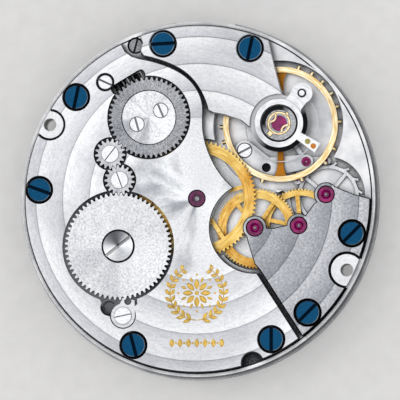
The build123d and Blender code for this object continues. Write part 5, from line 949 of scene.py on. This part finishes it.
ratchet_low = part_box("ratchet_screw")[0].z / MM
ratchet_length = RATCHET_SCREW_TOP - RATCHET_HEAD_HEIGHT - ratchet_low
screws("ratchet_screw_head", [(*RATCHET, RATCHET_SCREW_TOP, 38)],
       (1.155, RATCHET_HEAD_HEIGHT, 0.05, 0.22, 0.12, 0.45, ratchet_length),
       large_screw_steel, "ratchet", ["ratchet_screw"])
shoulder_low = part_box("shoulder_screws")[0].z / MM
shoulder_length = SHOULDER_TOP - SHOULDER_HEAD_HEIGHT - shoulder_low
shoulder_turns = ((UPPER_SMALL, 52), (LOWER_SMALL, -70), (CLICK, 12))
shoulder_places = [(*place, SHOULDER_TOP, turn) for place, turn in shoulder_turns]
screws("shoulder_screw_heads", shoulder_places,
       (0.64, SHOULDER_HEAD_HEIGHT, 0.03, 0.08, 0.06, 0.40, shoulder_length),
       bright_steel, "frame", ["shoulder_screws"])

# %% [markdown]
# The balance jewel is held by a spring of thin flat wire, shaped so that it gives way under a knock.
# A ring carries two arcs that bend in over the jewel, a broad foot and a small lug that lock into
# the block. Each part is a strip drawn along a line, with a flat top, and closed at its ends.

# %% Flat wire
RING_POINTS = 72


def drawn_piece(name, shape, material):
    """Turns a finished drawing into a piece of the scene."""
    mesh = bpy.data.meshes.new(name)
    shape.to_mesh(mesh)
    shape.free()
    mesh.materials.append(material)
    print(name, "faces:", len(mesh.polygons))
    return add_object(name, mesh)


def arc(centre, radius, start, end, steps):
    """Places along an arc, in millimetres and degrees."""
    return [polar(centre, radius, start + (end - start) * k / steps) for k in range(steps + 1)]


def ring(centre, radius):
    """Places all round a circle."""
    return arc(centre, radius, 0, 360 * (RING_POINTS - 1) / RING_POINTS, RING_POINTS - 1)


def strip(shape, places, width, levels, closed=False):
    """Adds a flat strip along a line of places to a mesh in the making."""
    count = len(places)
    low, high = levels
    sections = []
    for number, place in enumerate(places):
        before = places[(number - 1) % count if closed else max(number - 1, 0)]
        after = places[(number + 1) % count if closed else min(number + 1, count - 1)]
        along = Vector((after[0] - before[0], after[1] - before[1])).normalized()
        side = Vector((-along.y, along.x)) * width / 2
        corners = [(side, low), (side, high), (-side, high), (-side, low)]
        sections.append([shape.verts.new(((place[0] + s.x) * MM, (place[1] + s.y) * MM, z * MM))
                         for s, z in corners])
    for number in range(count if closed else count - 1):
        here, there = sections[number], sections[(number + 1) % count]
        for k in range(4):
            shape.faces.new((here[k], here[(k + 1) % 4], there[(k + 1) % 4], there[k]))
    if not closed:
        shape.faces.new(sections[0][::-1])
        shape.faces.new(sections[-1])


# %% [markdown]
# The upper spring and the plainer lower one, on the dial side, make one piece together.
# Widths, radii and levels are in millimetres. The parts stand at angles from the spring's own line.

# %% Shock springs
SPRING_LINE = -131
UPPER_LEVELS = (2.30, 2.36)
UPPER_RING = 0.79
LOBE_RADIUS = 0.42
LOBE_CENTRE = 0.84
LOBE_TURN = 88
LOBE_ARC = (112, 248)
FOOT = (0.80, 1.16)
LUG = (0.80, 1.00)
LOWER_LEVELS = (0.010, 0.050)
LOWER_RING = 0.728
TONGUE = (0.690, 0.450)

shape = bmesh.new()
strip(shape, ring(BALANCE, UPPER_RING), 0.12, UPPER_LEVELS, closed=True)
for line in (SPRING_LINE - LOBE_TURN, SPRING_LINE + LOBE_TURN):
    lobe = arc(polar(BALANCE, LOBE_CENTRE, line), LOBE_RADIUS, line + LOBE_ARC[0], line + LOBE_ARC[1], 20)
    strip(shape, lobe, 0.11, UPPER_LEVELS)
strip(shape, [polar(BALANCE, reach, SPRING_LINE) for reach in FOOT], 0.32, UPPER_LEVELS)
strip(shape, [polar(BALANCE, reach, SPRING_LINE + 180) for reach in LUG], 0.20, UPPER_LEVELS)
strip(shape, ring(BALANCE, LOWER_RING), 0.130, LOWER_LEVELS, closed=True)
for line in (SPRING_LINE - 90, SPRING_LINE + 90):
    strip(shape, [polar(BALANCE, reach, line) for reach in TONGUE], 0.200, LOWER_LEVELS)
bmesh.ops.recalc_face_normals(shape, faces=shape.faces)
springs = drawn_piece("shock_spring_wire", shape, spring_gilt)
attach(springs, "frame")
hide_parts("shock_springs")

# %% [markdown]
# The case is fixed by two screws that grip the rim of the plate. Each has a raised boss round its
# hole, turned bright. A boss is cut off where the bridges end, so its outline is drawn point
# by point, and the top, the bottom and both walls are joined into one closed ring.

# %% Casing bosses
BOSS_SIDES = 96
BOSS_LIMIT = 12.86
BOSS_BOTTOM = 1.70
BOSS_TOP = 2.22
BOSS_HOLE = 0.48


def boss(name, centre, outer, material):
    """A ring on the plate, held inside the edge of the bridges."""
    shape = bmesh.new()
    loops = []
    edges = ((outer, BOSS_BOTTOM), (outer, BOSS_TOP), (BOSS_HOLE, BOSS_TOP), (BOSS_HOLE, BOSS_BOTTOM))
    for radius, height in edges:
        loop = []
        for number in range(BOSS_SIDES):
            angle = 2 * math.pi * number / BOSS_SIDES
            point = Vector((centre[0] + radius * math.cos(angle), centre[1] + radius * math.sin(angle), 0.0))
            if point.length > BOSS_LIMIT:
                point = point.normalized() * BOSS_LIMIT
            loop.append(shape.verts.new((point.x * MM, point.y * MM, height * MM)))
        loops.append(loop)
    for number in range(BOSS_SIDES):
        after = (number + 1) % BOSS_SIDES
        for low, high in zip(loops, loops[1:] + loops[:1]):
            shape.faces.new((low[number], low[after], high[after], high[number]))
    piece = drawn_piece(name, shape, material)
    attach(piece, "frame")


boss_metal = brushed_metal(
    "rhodium plated brass, casing boss", "FFFFFF", "E2E3E5", CENTRE,
    8.0, 40.0, (0.3, 0.45), 0.2)
boss("casing_boss_left", (-11.01, 5.59), 1.00, boss_metal)
boss("casing_boss_right", (11.13, -5.36), 1.17, boss_metal)

# %% [markdown]
# This movement has an ornament of its own, in two open places of its bridges: a rosette
# in a wreath of two sprays, and a row of lozenges below. It was engraved and filled with gold.
# One leaf repeated many times is again a job for Geometry Nodes. A disc is pinched to a point at
# both ends for a leaf, and left round for a bead.

# %% Leaf tree
LEAF_SIDES = 20
LEAF_TOP_SHARE = 0.75

leaf_tree, leaf_sockets, given = begin_tree("inlaid leaves", ("Height", "Pointed"))
disc = add_node(leaf_tree, "GeometryNodeMeshCone", {
    "Vertices": LEAF_SIDES, "Radius Top": LEAF_TOP_SHARE, "Radius Bottom": 1.0, "Depth": given["Height"]})
at = add_node(leaf_tree, "GeometryNodeInputPosition")
at = add_node(leaf_tree, "SeparateXYZ", (at,)).node.outputs
aside = add_node(leaf_tree, "Math", (at["Y"],), operation="ABSOLUTE")
pinch = add_node(leaf_tree, "Mix", (given["Pointed"], 1.0, aside))
pinched = add_node(leaf_tree, "Math", (at["Y"], pinch), operation="MULTIPLY")
moved = add_node(leaf_tree, "CombineXYZ", (at["X"], pinched, at["Z"]))
leaf = add_node(leaf_tree, "GeometryNodeSetPosition", {"Geometry": disc, "Position": moved})
half_sizes = [add_node(leaf_tree, "GeometryNodeInputNamedAttribute", {"Name": name}, data_type="FLOAT")
              for name in ("long", "wide")]
long_scale, wide_scale = [sum_of(leaf_tree, (half_size, MM)) for half_size in half_sizes]
leaf_scale = add_node(leaf_tree, "CombineXYZ", (long_scale, wide_scale, MM))
end_tree(leaf_tree, given, leaf, leaf_scale)

# %% [markdown]
# The ornament is laid out like any engraver would: circles first, then leaves spaced along them.
# Each entry is a place, a turn, and half the length and width of the leaf, in millimetres.

# %% Ornament layout
ORNAMENT = (0.0, -7.0)
PETALS = 8
WREATH_RADIUS = 2.0
WREATH_LEAVES = 10
WREATH_LEAN = 36
STEM_PARTS = 24
ROW_HEIGHT = -10.7
ROW_PITCH = 0.62
LOZENGES = 7
BEAD = (0, 0.09, 0.09)

leaves = []
beads = [(*ORNAMENT, 0, 0.17, 0.17)]
for number in range(PETALS):
    turn = 45 * number
    leaves.append((*polar(ORNAMENT, 0.66, turn), turn, 0.42, 0.22))
    leaves.append((*polar(ORNAMENT, 1.04, turn + 22.5), turn + 22.5, 0.24, 0.11))
    beads.append((*polar(ORNAMENT, 1.36, turn), *BEAD))
for side in (-1, 1):
    for number in range(STEM_PARTS):
        degrees = -90 + side * (6 + 144 * number / (STEM_PARTS - 1))
        leaves.append((*polar(ORNAMENT, WREATH_RADIUS, degrees), degrees + 90, 0.19, 0.05))
    for number in range(WREATH_LEAVES):
        degrees = -90 + side * (20 + 130 * number / (WREATH_LEAVES - 1))
        for lean, radius in ((WREATH_LEAN, WREATH_RADIUS + 0.2), (-WREATH_LEAN, WREATH_RADIUS - 0.2)):
            turn = degrees + 90 - side * lean
            leaves.append((*polar(ORNAMENT, radius, degrees), turn, 0.34 - 0.012 * number, 0.15))
for number in range(LOZENGES):
    across = ROW_PITCH * (number - LOZENGES // 2)
    leaves.append((across, ROW_HEIGHT, 90, 0.34, 0.2))
    if number < LOZENGES - 1:
        beads.append((across + ROW_PITCH / 2, ROW_HEIGHT, *BEAD))
print("leaves:", len(leaves), "beads:", len(beads))

# %% [markdown]
# Gold in an engraving has no brushing of its own. It takes the fine grain of the burnisher.
# Each piece is sunk a little into the bridge, and most of its height stands proud of it.

# %% Ornament
INLAY_HEIGHT = 0.02
INLAY_SUNK = 0.2 * INLAY_HEIGHT


def inlay(name, entries, pointed):
    """One piece of the inlay, a little proud of the bridge."""
    points = [(x, y, BRIDGE_TOP - INLAY_SUNK) for x, y, *rest in entries]
    _, _, turns, half_lengths, half_widths = zip(*entries)
    carried = {"turn": [math.radians(turn) for turn in turns], "long": half_lengths, "wide": half_widths}
    values = {"Height": INLAY_HEIGHT, "Pointed": pointed, "Material": inlay_gold}
    baked(leaf_tree, leaf_sockets, name, points, carried, values, "frame", None)


inlay_gold = brushed_metal("gold, burnished inlay", "EFCB6C", "BE9644", ORNAMENT, 8.0, 10.0, (0.24, 0.4), 0.1)
inlay("ornament_leaves", leaves, 1.0)
inlay("ornament_beads", beads, 0.0)

# %% [markdown]
# Each CAD node gets its finish by filling the material slots of its object. The mesh isn't touched.

# %% Dress the nodes
FINISHES = {
    barrel_rhodium: ["barrel_bridge"],
    cock_rhodium: ["balance_cock"],
    shaded_train_rhodium: ["train_bridge"],
    frosted: ["main_plate", "pallet_bridge"],
    blued_steel: ["bridge_screws"],
    bright_steel: ["small_steel_screws", "shoulder_screws", "ratchet_screw"],
    ratchet_steel: ["ratchet_wheel"],
    crown_steel: ["crown_wheel"],
    upper_steel: ["intermediate_wheel_1"],
    lower_steel: ["intermediate_wheel_2"],
    core_steel: ["crown_wheel_core"],
    regulator_steel: ["stud_carrier", "regulator_index"],
    stud_steel: ["stud"],
    small_part_steel: ["click", "keyless_cover", "setting_lever", "yoke", "yoke_spring",
                       "escape_wheel", "pallet_fork", "roller"],
    dark_steel: ["winding_stem", "winding_pinion", "sliding_pinion", "barrel_arbor", "balance_staff",
                 "pallet_arbor", "centre_pinion", "third_pinion", "fourth_pinion", "escape_pinion",
                 "cannon_pinion"],
    spring_steel: ["hairspring", "mainspring"],
    pocket_shade_steel: ["click_spring"],
    disc_steel: ["shock_blocks"],
    centre_gilt: ["centre_wheel", "hour_wheel", "minute_wheel", "setting_wheel", "collet"],
    third_gilt: ["third_wheel"],
    fourth_gilt: ["fourth_wheel"],
    barrel_gilt: ["barrel_drum", "barrel_cover"],
    balance_gilt: ["balance_wheel", "timing_screws"],
    spring_gilt: ["shock_springs"],
    curb_gilt: ["curb_pins"],
    ruby: ["train_jewels_upper", "train_jewels_lower", "pallet_jewels", "barrel_jewels", "balance_jewels",
           "pallet_stones", "impulse_jewel"],
}


def dress(piece, material):
    """Puts one material in every slot of an object, or in a new slot if it has none."""
    if not piece.material_slots:
        piece.data.materials.append(material)
    for slot in piece.material_slots:
        slot.material = material


for material, nodes in FINISHES.items():
    for node in nodes:
        dress(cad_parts[node], material)
dressed = sum(len(nodes) for nodes in FINISHES.values())
print("dressed:", dressed, "of", len(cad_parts))
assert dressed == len(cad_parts)
